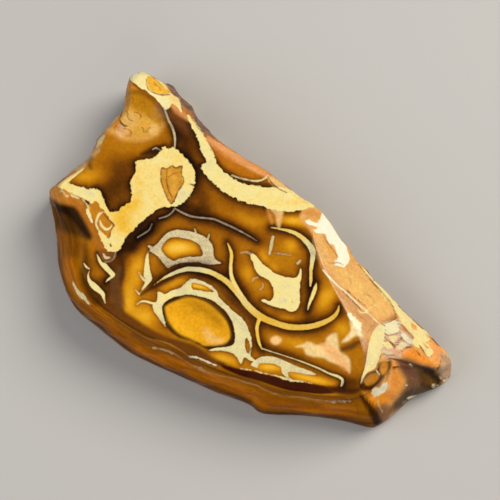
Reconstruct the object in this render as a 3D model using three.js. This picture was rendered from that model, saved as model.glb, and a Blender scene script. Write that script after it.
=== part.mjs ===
// Rough boulder opal slab, one solid stone.
// Millimetres, +Z up. The stone lies on its sawn underside at z = 0, its polished face up.
// The origin is the middle of the box around its footprint.
// +X runs along the stone's longer side and +Y away from the viewer.

import * as THREE from 'three';
import { mergeVertices } from 'three/addons/utils/BufferGeometryUtils.js';

// Driving dimensions
const slabThickness = 8; // from the sawn underside to the polished face
const footHeight = 0.8; // the side turns under to the saw cut at this height
const sawnInset = 0.5; // the saw cut starts this far inside the foot
const viewElevation = 80; // degrees above the table from which the outlines below were read
const viewDistance = 140; // from the eye to the middle of the polished face
const millimetresPerPixel = 0.1; // size of one pixel of the 500 by 500 picture on the polished face
const pictureMiddle = 250; // pixel column and row that the line of sight goes through

// Lumps of the broken sides: waves per millimetre along X, Y and Z, and where each wave starts
const broadWave = { x: 0.9, y: 1.3, z: 1.1, start: 0 };
const crossedWave = { x: -1.2, y: 1.7, z: 0.9, start: 1.4 };
const shortWave = { x: 2.9, y: 2.3, z: -2.1, start: 0.6 };
const waveShares = { broad: 0.45, crossed: 0.35, short: 0.3 };
const wallLumpGain = 2; // the side is this much rougher than the shoulder
const wallLumpStart = 0.15; // share of the side's height by which its lumps lead
const wallLumpEnd = 0.95; // lumps that still show at the foot

// Division of the surface
const columnsLong = 34; // along the flank and along the upper edge
const columnsShort = 24; // along the notched edge and along the bevel
const shoulderRings = 5; // between the edge of the polished face and the rim
const wallRings = 6; // between the rim and the foot

// The four edges, each a list of stations that run clockwise as seen from above.
// A station is [rim x, rim y, rim height, crest x, crest y, foot x, foot y]: the crest is the edge of the
// flat polished face, the rim is where the slope below it turns into the side, and the foot is where the
// side ends. Places are pixels of the picture and heights are millimetres.
const notchedEdge = {
  roundness: 1.3, // 1 is a flat slope from crest to rim, 2 is a full round
  roughness: 0.15, // height of the lumps in millimetres
  stations: [
    [52, 190, 5.8, 61, 188, 51, 199],
    [60, 181, 6.4, 66, 181, 59, 189],
    [76, 169, 6.8, 80, 172, 74, 178],
    [89, 157, 7.0, 92, 161, 85, 172],
    [97, 145, 7.2, 101, 148, 95, 159],
    [105, 131, 7.2, 108, 134, 103, 147],
    [114, 120, 7.0, 117, 124, 114, 135],
    [123, 110, 6.6, 127, 113, 123, 124],
    [126, 97, 6.4, 130, 100, 127, 111],
    [128, 85, 6.8, 131, 88, 128, 98],
  ],
};
const upperEdge = {
  roundness: 1.2,
  roughness: 0.2,
  stations: [
    [132, 77, 6.6, 135, 83, 132, 90],
    [140, 74, 6.6, 141, 87, 141, 84],
    [151, 77, 6.5, 149, 94, 152, 85],
    [160, 84, 6.2, 156, 99, 162, 88],
    [169, 94, 6.6, 163, 106, 174, 93],
    [180, 104, 6.8, 175, 109, 184, 102],
    [190, 117, 7.0, 187, 120, 195, 115],
    [201, 132, 7.0, 198, 136, 206, 130],
    [211, 138.5, 6.6, 209, 146, 216, 140],
    [222, 144.5, 6.2, 219, 154, 226, 149],
    [235, 153, 6.0, 231, 162, 237, 160],
    [264, 169, 6.4, 258, 173, 264, 182],
    [290, 189.5, 7.0, 287, 193, 288, 204],
  ],
};
const bevelEdge = {
  roundness: 1.1,
  roughness: 0.22,
  stations: [
    [316, 207.5, 6.8, 311, 212, 314, 223],
    [328, 220, 6.4, 313, 225, 327, 236],
    [338, 234.5, 6.0, 315, 243, 336, 250],
    [361, 266, 5.2, 327, 275, 358, 280],
    [390, 296, 4.8, 343, 305, 387, 309],
    [405, 312, 4.6, 350, 318, 402, 324],
    [420, 325.5, 4.4, 355, 328, 417, 337],
    [433, 338.5, 4.2, 359, 338, 431, 349],
    [444, 351, 3.8, 362, 347, 443, 361],
    [450, 363, 3.4, 363, 353, 450, 374],
    [440, 367, 4.0, 363, 358, 442, 384],
    [419, 367, 5.1, 363, 363, 414, 397],
    [404, 366, 5.9, 363, 368, 403, 405],
    [391, 367, 6.6, 363, 373, 393, 414.5],
    [382, 378, 7.0, 362, 380, 384, 422],
  ],
};
const flankEdge = {
  roundness: 1.9,
  roughness: 0.1,
  stations: [
    [372, 388, 7.1, 360, 387, 377, 426],
    [362, 396, 7.0, 357, 391, 368, 427],
    [335, 401, 6.9, 332, 394, 338, 420],
    [300, 397, 6.9, 299, 389, 300, 415.5],
    [267, 390.5, 6.9, 270, 383.5, 263, 413.5],
    [251, 384.5, 6.9, 255, 379, 248, 404],
    [219, 375.5, 6.9, 223, 367, 214, 391.5],
    [189, 361.5, 6.9, 195, 356, 186, 379],
    [159, 347.5, 6.9, 166, 342, 157, 366],
    [131, 334, 6.7, 138, 328, 129, 352],
    [103, 318, 6.4, 113, 311, 101, 330],
    [79, 296, 6.0, 93, 290, 74, 306],
    [67, 266, 5.6, 83, 263, 60.5, 272],
    [63, 233, 5.4, 82, 234, 56.5, 233],
    [55, 206, 5.5, 70, 207, 52.5, 211],
  ],
};

// Hollows broken out of the stone: picture place, height, radius and depth
const hollows = [
  { x: 146, y: 118, height: 8, radius: 2.2, depth: 0.75 }, // scoop below the tip
  { x: 130, y: 131, height: 8, radius: 1.1, depth: 0.3 }, // its rough lower end
  { x: 68, y: 212, height: 3.6, radius: 1.5, depth: 0.9 }, // dark hollow below the left corner
  { x: 78, y: 226, height: 4.6, radius: 1.3, depth: 0.6 },
  { x: 121, y: 113, height: 5, radius: 0.9, depth: 0.5 }, // step in the notched edge
  { x: 425, y: 377, height: 3.6, radius: 1.1, depth: 0.5 }, // bite in the broken end
  { x: 262, y: 166, height: 5.2, radius: 1.4, depth: 0.35 }, // break under the upper rim
];

const stoneMaterial = new THREE.MeshStandardMaterial({
  name: 'polished_opal_stone',
  color: 0xa8660f,
  roughness: 0.25,
  metalness: 0,
});

const straightDown = new THREE.Vector3(0, 0, -1);

// Turns a picture place at a known height into plan millimetres, along the line of sight
function planPoint(x, y, height) {
  const elevation = THREE.MathUtils.degToRad(viewElevation);
  const eye = new THREE.Vector3(
    0,
    -viewDistance * Math.cos(elevation),
    slabThickness + viewDistance * Math.sin(elevation),
  );
  const forward = new THREE.Vector3(0, Math.cos(elevation), -Math.sin(elevation));
  const upward = new THREE.Vector3(0, Math.sin(elevation), Math.cos(elevation));
  const slope = millimetresPerPixel / viewDistance;
  const ray = forward
    .addScaledVector(new THREE.Vector3(1, 0, 0), (x - pictureMiddle) * slope)
    .addScaledVector(upward, (pictureMiddle - y) * slope);
  return eye.addScaledVector(ray, (height - eye.z) / ray.z);
}

function wave(point, shape) {
  return Math.sin(shape.x * point.x + shape.y * point.y + shape.z * point.z + shape.start);
}

// Waves of three crossing directions, together between about -1 and 1
function lumps(point) {
  const crossed = wave(point, crossedWave);
  return waveShares.broad * wave(point, broadWave)
    + waveShares.crossed * crossed
    + waveShares.short * wave(point, shortWave) * crossed;
}

// Each station becomes the three points of its profile and the character of its edge
function readStations(edge) {
  return edge.stations.map(([rimX, rimY, rimHeight, crestX, crestY, footX, footY]) => ({
    rim: planPoint(rimX, rimY, rimHeight),
    crest: planPoint(crestX, crestY, slabThickness),
    foot: planPoint(footX, footY, footHeight),
    roundness: edge.roundness,
    roughness: edge.roughness,
  }));
}

// Uniform Catmull-Rom blend of four values for a fraction between the second and the third
function blendFour(before, from, to, after, fraction) {
  const squared = fraction * fraction;
  const cubed = squared * fraction;
  return 0.5 * (
    2 * from
    + (to - before) * fraction
    + (2 * before - 5 * from + 4 * to - after) * squared
    + (3 * from - before - 3 * to + after) * cubed
  );
}

function blendPoints(stations, index, fraction, part) {
  const four = [-1, 0, 1, 2].map((step) => stations[(index + step + stations.length) % stations.length][part]);
  const along = (axis) => blendFour(four[0][axis], four[1][axis], four[2][axis], four[3][axis], fraction);
  return new THREE.Vector3(along('x'), along('y'), along('z'));
}

// Columns at equal steps along one edge, measured on the crest and the rim together
function divideEdge(stations, first, count, columns) {
  const reached = [0];
  for (let step = 0; step < count; step += 1) {
    const here = stations[(first + step) % stations.length];
    const next = stations[(first + step + 1) % stations.length];
    const length = here.crest.distanceTo(next.crest) + here.rim.distanceTo(next.rim);
    reached.push(reached[step] + length);
  }
  const result = [];
  for (let column = 0; column < columns; column += 1) {
    const target = (reached[count] * column) / columns;
    let step = 0;
    while (reached[step + 1] <= target) step += 1;
    const fraction = (target - reached[step]) / (reached[step + 1] - reached[step]);
    const index = (first + step) % stations.length;
    const next = (index + 1) % stations.length;
    result.push({
      rim: blendPoints(stations, index, fraction, 'rim'),
      crest: blendPoints(stations, index, fraction, 'crest'),
      foot: blendPoints(stations, index, fraction, 'foot'),
      roundness: THREE.MathUtils.lerp(stations[index].roundness, stations[next].roundness, fraction),
      roughness: THREE.MathUtils.lerp(stations[index].roughness, stations[next].roughness, fraction),
    });
  }
  return result;
}

// Sinks a point into the stone where it lies in a hollow
function sinkInHollows(point, inward) {
  for (const hollow of hollows) {
    const centre = planPoint(hollow.x, hollow.y, hollow.height);
    const closeness = Math.exp(-point.distanceToSquared(centre) / hollow.radius ** 2);
    point.addScaledVector(inward, hollow.depth * closeness);
  }
  return point;
}

// The profile of one column: crest, shoulder down to the rim, side down to the foot, then the saw cut
function profile(column, outward) {
  const points = [];
  const inward = outward.clone().negate();
  for (let ring = 0; ring <= shoulderRings; ring += 1) {
    const share = ring / shoulderRings;
    const point = column.crest.clone().lerp(column.rim, share);
    point.z = slabThickness - (slabThickness - column.rim.z) * share ** column.roundness;
    point.z += column.roughness * share * lumps(point);
    points.push(sinkInHollows(point, straightDown));
  }
  for (let ring = 1; ring <= wallRings; ring += 1) {
    const share = ring / wallRings;
    const point = column.rim.clone().lerp(column.foot, Math.sin((share * Math.PI) / 2));
    point.z = THREE.MathUtils.lerp(column.rim.z, footHeight, share);
    const fade = Math.sin(Math.PI * Math.min(share + wallLumpStart, wallLumpEnd));
    point.addScaledVector(outward, column.roughness * wallLumpGain * fade * lumps(point));
    points.push(sinkInHollows(point, inward));
  }
  const sawn = points[points.length - 1].clone().addScaledVector(inward, sawnInset);
  sawn.z = 0;
  points.push(sawn);
  return points;
}

// The polished face: a four-sided patch between the crests, blended from its four edges
function facePatch(sides) {
  const at = (side, index) => sides[side][index].crest;
  const corners = [at(0, 0), at(1, 0), at(2, 0), at(3, 0)];
  const rows = [];
  for (let row = 0; row <= columnsShort; row += 1) {
    const v = row / columnsShort;
    const left = row < columnsShort ? at(0, row) : corners[1];
    const right = row > 0 ? at(2, columnsShort - row) : corners[3];
    const line = [];
    for (let step = 0; step <= columnsLong; step += 1) {
      const u = step / columnsLong;
      const upper = step < columnsLong ? at(1, step) : corners[2];
      const lower = step > 0 ? at(3, columnsLong - step) : corners[0];
      const point = new THREE.Vector3()
        .addScaledVector(lower, 1 - v)
        .addScaledVector(upper, v)
        .addScaledVector(left, 1 - u)
        .addScaledVector(right, u)
        .addScaledVector(corners[0], -(1 - u) * (1 - v))
        .addScaledVector(corners[1], -(1 - u) * v)
        .addScaledVector(corners[2], -u * v)
        .addScaledVector(corners[3], -u * (1 - v));
      point.z = slabThickness;
      line.push(sinkInHollows(point, straightDown));
    }
    rows.push(line);
  }
  return rows;
}

function buildStone() {
  const edges = [notchedEdge, upperEdge, bevelEdge, flankEdge];
  const counts = [columnsShort, columnsLong, columnsShort, columnsLong];
  const stations = edges.flatMap(readStations);
  let first = 0;
  const columns = [];
  const sideStarts = [];
  edges.forEach((edge, side) => {
    sideStarts.push(columns.length);
    columns.push(...divideEdge(stations, first, edge.stations.length, counts[side]));
    first += edge.stations.length;
  });

  const ring = columns.map((column, index) => {
    const before = columns[(index + columns.length - 2) % columns.length];
    const after = columns[(index + 2) % columns.length];
    const along = after.foot.clone().sub(before.foot).add(after.rim).sub(before.rim);
    const outward = new THREE.Vector3(-along.y, along.x, 0).normalize();
    return profile(column, outward);
  });

  const positions = [];
  const triangle = (a, b, c) => {
    for (const point of [a, b, c]) positions.push(point.x, point.y, point.z);
  };
  const quad = (a, b, c, d) => {
    triangle(a, b, c);
    triangle(a, c, d);
  };

  const rows = facePatch(sideStarts.map((start, side) => columns.slice(start, start + counts[side])));
  for (let row = 0; row < columnsShort; row += 1) {
    for (let step = 0; step < columnsLong; step += 1) {
      quad(rows[row][step], rows[row][step + 1], rows[row + 1][step + 1], rows[row + 1][step]);
    }
  }

  ring.forEach((column, index) => {
    const next = ring[(index + 1) % ring.length];
    for (let level = 0; level + 1 < column.length; level += 1) {
      quad(column[level], next[level], next[level + 1], column[level + 1]);
    }
  });

  const sawnOutline = ring.map((column) => column[column.length - 1]).reverse();
  const flat = sawnOutline.map((point) => new THREE.Vector2(point.x, point.y));
  for (const [a, b, c] of THREE.ShapeUtils.triangulateShape(flat, [])) {
    triangle(sawnOutline[a], sawnOutline[c], sawnOutline[b]);
  }

  const loose = new THREE.BufferGeometry();
  loose.setAttribute('position', new THREE.Float32BufferAttribute(positions, 3));
  const geometry = mergeVertices(loose, 0.001);
  geometry.computeBoundingBox();
  const middle = geometry.boundingBox.getCenter(new THREE.Vector3());
  geometry.translate(-middle.x, -middle.y, 0);
  geometry.computeVertexNormals();
  return geometry;
}

const slab = new THREE.Group();
const stone = new THREE.Mesh(buildStone(), stoneMaterial);
stone.name = 'opal_slab';
slab.add(stone);

export default slab;
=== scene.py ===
# Rough boulder opal slab: one stone with a polished patterned face, on a plain pale floor
import math
import bpy
import numpy as np
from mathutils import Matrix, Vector


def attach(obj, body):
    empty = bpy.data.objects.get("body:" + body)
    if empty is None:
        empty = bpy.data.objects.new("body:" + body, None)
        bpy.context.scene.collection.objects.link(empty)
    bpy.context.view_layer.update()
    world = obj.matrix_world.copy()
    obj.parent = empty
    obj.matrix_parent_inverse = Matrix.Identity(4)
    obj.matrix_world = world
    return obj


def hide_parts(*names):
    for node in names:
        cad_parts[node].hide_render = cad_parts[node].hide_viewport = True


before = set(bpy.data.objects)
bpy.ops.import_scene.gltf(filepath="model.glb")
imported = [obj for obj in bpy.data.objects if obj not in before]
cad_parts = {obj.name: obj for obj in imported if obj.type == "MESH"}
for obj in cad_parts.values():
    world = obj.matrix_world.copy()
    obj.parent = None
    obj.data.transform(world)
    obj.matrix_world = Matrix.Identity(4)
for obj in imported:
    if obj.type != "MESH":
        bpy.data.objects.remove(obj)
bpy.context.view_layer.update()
print("frame loaded")

metresPerMm = 0.001

# how the outlines were read: the eye's height angle and distance, and the size of one pixel of the picture
reading = {
    "elevation": math.radians(80),
    "distance": 140.0,            # mm from the eye to the middle of the polished face
    "pixel": 0.1,                 # mm on the polished face
    "middle": 250.0,              # picture column and row of the line of sight
    "picture": 500,               # columns and rows of the picture
}

# the stone, in mm
stone = {
    "thickness": 8.0,
    "footHeight": 0.8,
    "sawnInset": 0.5,
    # the ring between the wall's foot and the sawn face, and the ring shares of both
    "footRounding": {"share": 0.45, "height": 0.22, "ringShares": [2.2, 2.4]},
    "longColumns": 250,
    "shortColumns": 186,
    "shoulderRings": 26,
    "wallRings": 18,
    "normalReach": 2 / 116,       # part of the ring that the outward direction is taken over, each way
    # picture place, height, radius and depth
    "hollows": [[146, 118, 8, 2.2, 0.75], [130, 131, 8, 1.1, 0.3], [68, 212, 3.6, 1.5, 0.9],
                [78, 226, 4.6, 1.3, 0.6], [121, 113, 5, 0.9, 0.5], [425, 377, 3.6, 1.1, 0.5],
                [262, 166, 5.2, 1.4, 0.35]],
    # waves per mm along x, y and z, and where each starts
    "waves": [[0.9, 1.3, 1.1, 0.0], [-1.2, 1.7, 0.9, 1.4], [2.9, 2.3, -2.1, 0.6]],
    "waveShares": [0.45, 0.35, 0.3],
    "wallLump": {"gain": 2.0, "lead": 0.15, "end": 0.95},
    # mm of broken grain on sides rougher than "smooth", in full from "smooth" + "over" on
    "grit": {"coarse": 0.10, "coarseSize": 0.9, "fine": 0.045, "fineSize": 0.33, "seed": 11,
             "smooth": 0.1, "over": 0.12, "shoulderShare": 0.6, "shoulderEnd": 0.5},
}

# the four edges in turn; a station is rim x, rim y, rim height, crest x, crest y, foot x, foot y
edges = {
    "notchedEdge": {"roundness": 1.3, "roughness": 0.15, "stations": [
        [52, 190, 5.8, 61, 188, 51, 199], [60, 181, 6.4, 66, 181, 59, 189],
        [76, 169, 6.8, 80, 172, 74, 178], [89, 157, 7.0, 92, 161, 85, 172],
        [97, 145, 7.2, 101, 148, 95, 159], [105, 131, 7.2, 108, 134, 103, 147],
        [114, 120, 7.0, 117, 124, 114, 135], [123, 110, 6.6, 127, 113, 123, 124],
        [126, 97, 6.4, 130, 100, 127, 111], [128, 85, 6.8, 131, 88, 128, 98]]},
    "upperEdge": {"roundness": 1.2, "roughness": 0.2, "stations": [
        [132, 77, 6.6, 135, 83, 132, 90], [140, 74, 6.6, 141, 87, 141, 84],
        [151, 77, 6.5, 149, 94, 152, 85], [160, 84, 6.2, 156, 99, 162, 88],
        [169, 94, 6.6, 163, 106, 174, 93], [180, 104, 6.8, 175, 109, 184, 102],
        [190, 117, 7.0, 187, 120, 195, 115], [201, 132, 7.0, 198, 136, 206, 130],
        [211, 138.5, 6.6, 209, 146, 216, 140], [222, 144.5, 6.2, 219, 154, 226, 149],
        [235, 153, 6.0, 231, 162, 237, 160], [264, 169, 6.4, 258, 173, 264, 182],
        [290, 189.5, 7.0, 287, 193, 288, 204]]},
    "bevelEdge": {"roundness": 1.1, "roughness": 0.22, "stations": [
        [316, 207.5, 6.8, 311, 212, 314, 223], [328, 220, 6.4, 313, 225, 327, 236],
        [338, 234.5, 6.0, 315, 243, 336, 250], [361, 266, 5.2, 327, 275, 358, 280],
        [390, 296, 4.8, 343, 305, 387, 309], [405, 312, 4.6, 350, 318, 402, 324],
        [420, 325.5, 4.4, 355, 328, 417, 337], [433, 338.5, 4.2, 359, 338, 431, 349],
        [444, 351, 3.8, 362, 347, 443, 361], [450, 363, 3.4, 363, 353, 450, 374],
        [440, 367, 4.0, 363, 358, 442, 384], [419, 367, 5.1, 363, 363, 414, 397],
        [404, 366, 5.9, 363, 368, 403, 405], [391, 367, 6.6, 363, 373, 393, 414.5],
        [382, 378, 7.0, 362, 380, 384, 422]]},
    "flankEdge": {"roundness": 1.9, "roughness": 0.1, "stations": [
        [372, 388, 7.1, 360, 387, 377, 426], [362, 396, 7.0, 357, 391, 368, 427],
        [335, 401, 6.9, 332, 394, 338, 420], [300, 397, 6.9, 299, 389, 300, 415.5],
        [267, 390.5, 6.9, 270, 383.5, 263, 413.5], [251, 384.5, 6.9, 255, 379, 248, 404],
        [219, 375.5, 6.9, 223, 367, 214, 391.5], [189, 361.5, 6.9, 195, 356, 186, 379],
        [159, 347.5, 6.9, 166, 342, 157, 366], [131, 334, 6.7, 138, 328, 129, 352],
        [103, 318, 6.4, 113, 311, 101, 330], [79, 296, 6.0, 93, 290, 74, 306],
        [67, 266, 5.6, 83, 263, 60.5, 272], [63, 233, 5.4, 82, 234, 56.5, 233],
        [55, 206, 5.5, 70, 207, 52.5, 211]]},
}


def eyePlace():
    # straight back along the line of sight from the middle of the face
    lift, back = math.sin(reading["elevation"]), math.cos(reading["elevation"])
    return np.array([0, -reading["distance"] * back, stone["thickness"] + reading["distance"] * lift])


def planPoint(x, y, height):
    # place = eye + ray * (height - eye.z) / ray.z, the ray leaning with the picture place
    sine, cosine = math.sin(reading["elevation"]), math.cos(reading["elevation"])
    slope = reading["pixel"] / reading["distance"]
    across = (np.asarray(x, float) - reading["middle"]) * slope
    above = (reading["middle"] - np.asarray(y, float)) * slope
    ray = np.stack([across, cosine + above * sine, -sine + above * cosine], -1)
    eye = eyePlace()
    return eye + ray * ((np.asarray(height, float) - eye[2]) / ray[..., 2])[..., None]


def picturePlace(points):
    # the same ray backwards: offsets from the eye, divided by the depth along the line of sight
    sine, cosine = math.sin(reading["elevation"]), math.cos(reading["elevation"])
    away = points - eyePlace()
    depth = away[..., 1] * cosine - away[..., 2] * sine
    above = away[..., 1] * sine + away[..., 2] * cosine
    scale = reading["distance"] / reading["pixel"]
    return reading["middle"] + scale * away[..., 0] / depth, reading["middle"] - scale * above / depth


def catmullRom(a, b, c, d, f):
    # from b to c: 0.5 (2b + (c - a) f + (2a - 5b + 4c - d) f^2 + (3b - a - 3c + d) f^3)
    square = 2 * a - 5 * b + 4 * c - d
    cube = 3 * b - a - 3 * c + d
    return 0.5 * (2 * b + (c - a) * f + square * f ** 2 + cube * f ** 3)


def stepUp(value, low, high):
    # 0 below low, 1 above high, 3t^2 - 2t^3 between
    t = np.clip((value - low) / (high - low), 0, 1)
    return t * t * (3 - 2 * t)


def lumps(points):
    # three sine waves a, b, c along crossing directions: 0.45 a + 0.35 b + 0.3 c b
    waves = np.array(stone["waves"])
    values = np.sin(points @ waves[:, :3].T + waves[:, 3])
    shares = stone["waveShares"]
    crossed = values[..., 1]
    return shares[0] * values[..., 0] + shares[1] * crossed + shares[2] * values[..., 2] * crossed


def lattice(points, size, seed):
    # smooth noise: random values on a cubic lattice, blended with 3t^2 - 2t^3 along each axis, -1 to 1
    cells = 64
    table = np.random.default_rng(seed).uniform(-1, 1, (cells, cells, cells))
    spot = points / size
    cell = np.floor(spot).astype(int)
    t = spot - cell
    t = t * t * (3 - 2 * t)
    total = np.zeros(points.shape[:-1])
    for corner in np.ndindex(2, 2, 2):
        share = 1.0
        for axis, far in enumerate(corner):
            share = share * (t[..., axis] if far else 1 - t[..., axis])
        near = (cell + np.array(corner)) % cells
        total += share * table[near[..., 0], near[..., 1], near[..., 2]]
    return total


def grain(points):
    # broken grain: two octaves of lattice noise, ridged by 1 - 2|n|
    grit = stone["grit"]
    coarse = 1 - 2 * np.abs(lattice(points, grit["coarseSize"], grit["seed"]))
    fine = 1 - 2 * np.abs(lattice(points, grit["fineSize"], grit["seed"] + 1))
    return grit["coarse"] * coarse + grit["fine"] * fine


def sink(points, inward):
    # each hollow: points move inward by depth * exp(-(distance / radius)^2)
    moved = points
    for x, y, height, radius, depth in stone["hollows"]:
        squared = ((moved - planPoint(x, y, height)) ** 2).sum(-1)
        moved = moved + inward * (depth * np.exp(-squared / radius ** 2))[..., None]
    return moved


def readColumns():
    # each edge divided in equal steps of crest + rim length, with Catmull-Rom between the stations
    rows = np.concatenate([np.array(edge["stations"], float) for edge in edges.values()])
    counts = [len(edge["stations"]) for edge in edges.values()]
    rim = planPoint(rows[:, 0], rows[:, 1], rows[:, 2])
    crest = planPoint(rows[:, 3], rows[:, 4], np.full(len(rows), stone["thickness"]))
    foot = planPoint(rows[:, 5], rows[:, 6], np.full(len(rows), stone["footHeight"]))
    character = np.concatenate([
        np.tile([edge["roundness"], edge["roughness"], *np.eye(4)[side]], (count, 1))
        for side, (edge, count) in enumerate(zip(edges.values(), counts))])
    step = sum(np.linalg.norm(np.roll(line, -1, 0) - line, axis=1) for line in (crest, rim))
    place, first = [], 0
    divisions = [stone["shortColumns"], stone["longColumns"]] * 2
    for count, columns in zip(counts, divisions):
        reached = np.concatenate([[0], np.cumsum(step[first:first + count])])
        target = reached[-1] * np.arange(columns) / columns
        place.append(first + np.interp(target, reached, np.arange(count + 1)))
        first += count
    place = np.concatenate(place)
    index = np.floor(place).astype(int)
    f = (place - index)[:, None]

    def between(values):
        return catmullRom(*(values[(index + shift) % len(values)] for shift in (-1, 0, 1, 2)), f)

    near = character[index % len(character)]
    after = character[(index + 1) % len(character)]
    character = near + (after - near) * f
    around = np.interp(place, np.arange(len(rows) + 1), np.concatenate([[0], np.cumsum(step)])) / 2
    return {"rim": between(rim), "crest": between(crest), "foot": between(foot), "divisions": divisions,
            "roundness": character[:, 0], "roughness": character[:, 1], "side": character[:, 2:],
            "around": around}


def facePatch(crest, divisions):
    # Coons patch: (1-v) lower + v upper + (1-u) left + u right - the four corners' bilinear blend
    short, long = divisions[0], divisions[1]
    starts = np.concatenate([[0], np.cumsum(divisions)])
    ring = np.concatenate([crest, crest[:1]])
    left = ring[starts[0]:starts[1] + 1]
    upper = ring[starts[1]:starts[2] + 1]
    right = ring[starts[2]:starts[3] + 1][::-1]
    lower = ring[starts[3]:starts[4] + 1][::-1]
    u = (np.arange(long + 1) / long)[None, :, None]
    v = (np.arange(short + 1) / short)[:, None, None]
    return ((1 - v) * lower[None] + v * upper[None] + (1 - u) * left[:, None] + u * right[:, None]
            - (1 - u) * (1 - v) * left[0] - (1 - u) * v * left[-1]
            - u * v * right[-1] - u * (1 - v) * right[0])


def outwardOf(columns):
    # level normal to the ring, from neighbours about 3.5 mm apart on each side
    span = max(2, round(len(columns["rim"]) * stone["normalReach"]))
    both = columns["rim"] + columns["foot"]
    along = np.roll(both, -span, 0) - np.roll(both, span, 0)
    outward = np.stack([-along[:, 1], along[:, 0], np.zeros(len(along))], -1)
    return outward / np.linalg.norm(outward, axis=1)[:, None]


def stoneRings(columns):
    # shoulder from crest to rim: z = thickness - drop * share^roundness
    # wall from rim to foot: outwards by sin(share * pi / 2), z in even steps
    # then the ring that rounds the foot, and the edge of the sawn face
    outward = outwardOf(columns)
    down = np.array([0, 0, -1.0])
    top, foot = stone["thickness"], stone["footHeight"]
    rough, lump, grit = columns["roughness"], stone["wallLump"], stone["grit"]
    gritShare = np.clip((rough - grit["smooth"]) / grit["over"], 0, 1)
    rings, shares = [], []
    for ring in range(stone["shoulderRings"] + 1):
        share = ring / stone["shoulderRings"]
        points = columns["crest"] + (columns["rim"] - columns["crest"]) * share
        points[:, 2] = top - (top - columns["rim"][:, 2]) * share ** columns["roundness"]
        points[:, 2] += rough * share * lumps(points)
        broken = gritShare * stepUp(share, 0.0, grit["shoulderEnd"]) * grain(points)
        points[:, 2] += broken * grit["shoulderShare"]
        rings.append(sink(points, down))
        shares.append(share)
    for ring in range(1, stone["wallRings"] + 1):
        share = ring / stone["wallRings"]
        points = columns["rim"] + (columns["foot"] - columns["rim"]) * math.sin(share * math.pi / 2)
        points[:, 2] = columns["rim"][:, 2] + (foot - columns["rim"][:, 2]) * share
        fade = math.sin(math.pi * min(share + lump["lead"], lump["end"]))
        points += outward * (rough * lump["gain"] * fade * lumps(points))[:, None]
        points += outward * (gritShare * math.sin(math.pi * share) * grain(points))[:, None]
        rings.append(sink(points, -outward))
        shares.append(1 + share)
    sawn = rings[-1] - outward * stone["sawnInset"]
    sawn[:, 2] = 0
    rounding = stone["footRounding"]
    rounded = rings[-1] * rounding["share"] + sawn * (1 - rounding["share"])
    rounded[:, 2] = foot * rounding["height"]
    return rings + [rounded, sawn], shares + rounding["ringShares"]


columns = readColumns()
rings, ringShares = stoneRings(columns)   # a ring's share is 0 at the crest, 1 at the rim, 2 at the foot
patch = facePatch(columns["crest"], columns["divisions"])
patch[..., 2] = stone["thickness"]
patch = sink(patch, np.array([0, 0, -1.0]))
print("stone surface worked out:", len(columns["rim"]), "columns")

# what a pale cell or vein has where it says nothing else: gold 0 is grey and 1 yellow, white is how far it
# goes to white, on glints a painted highlight, strength how well it covers, rag how ragged its edge is, halo
# how many pixels the dark around it reaches, dark how dark that is, and soft how many pixels wide its edge is
paleUsual = {"gold": 0.3, "white": 0, "strength": 1, "rag": 0.2, "halo": 1.0, "dark": 0.1, "soft": 1}

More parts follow.
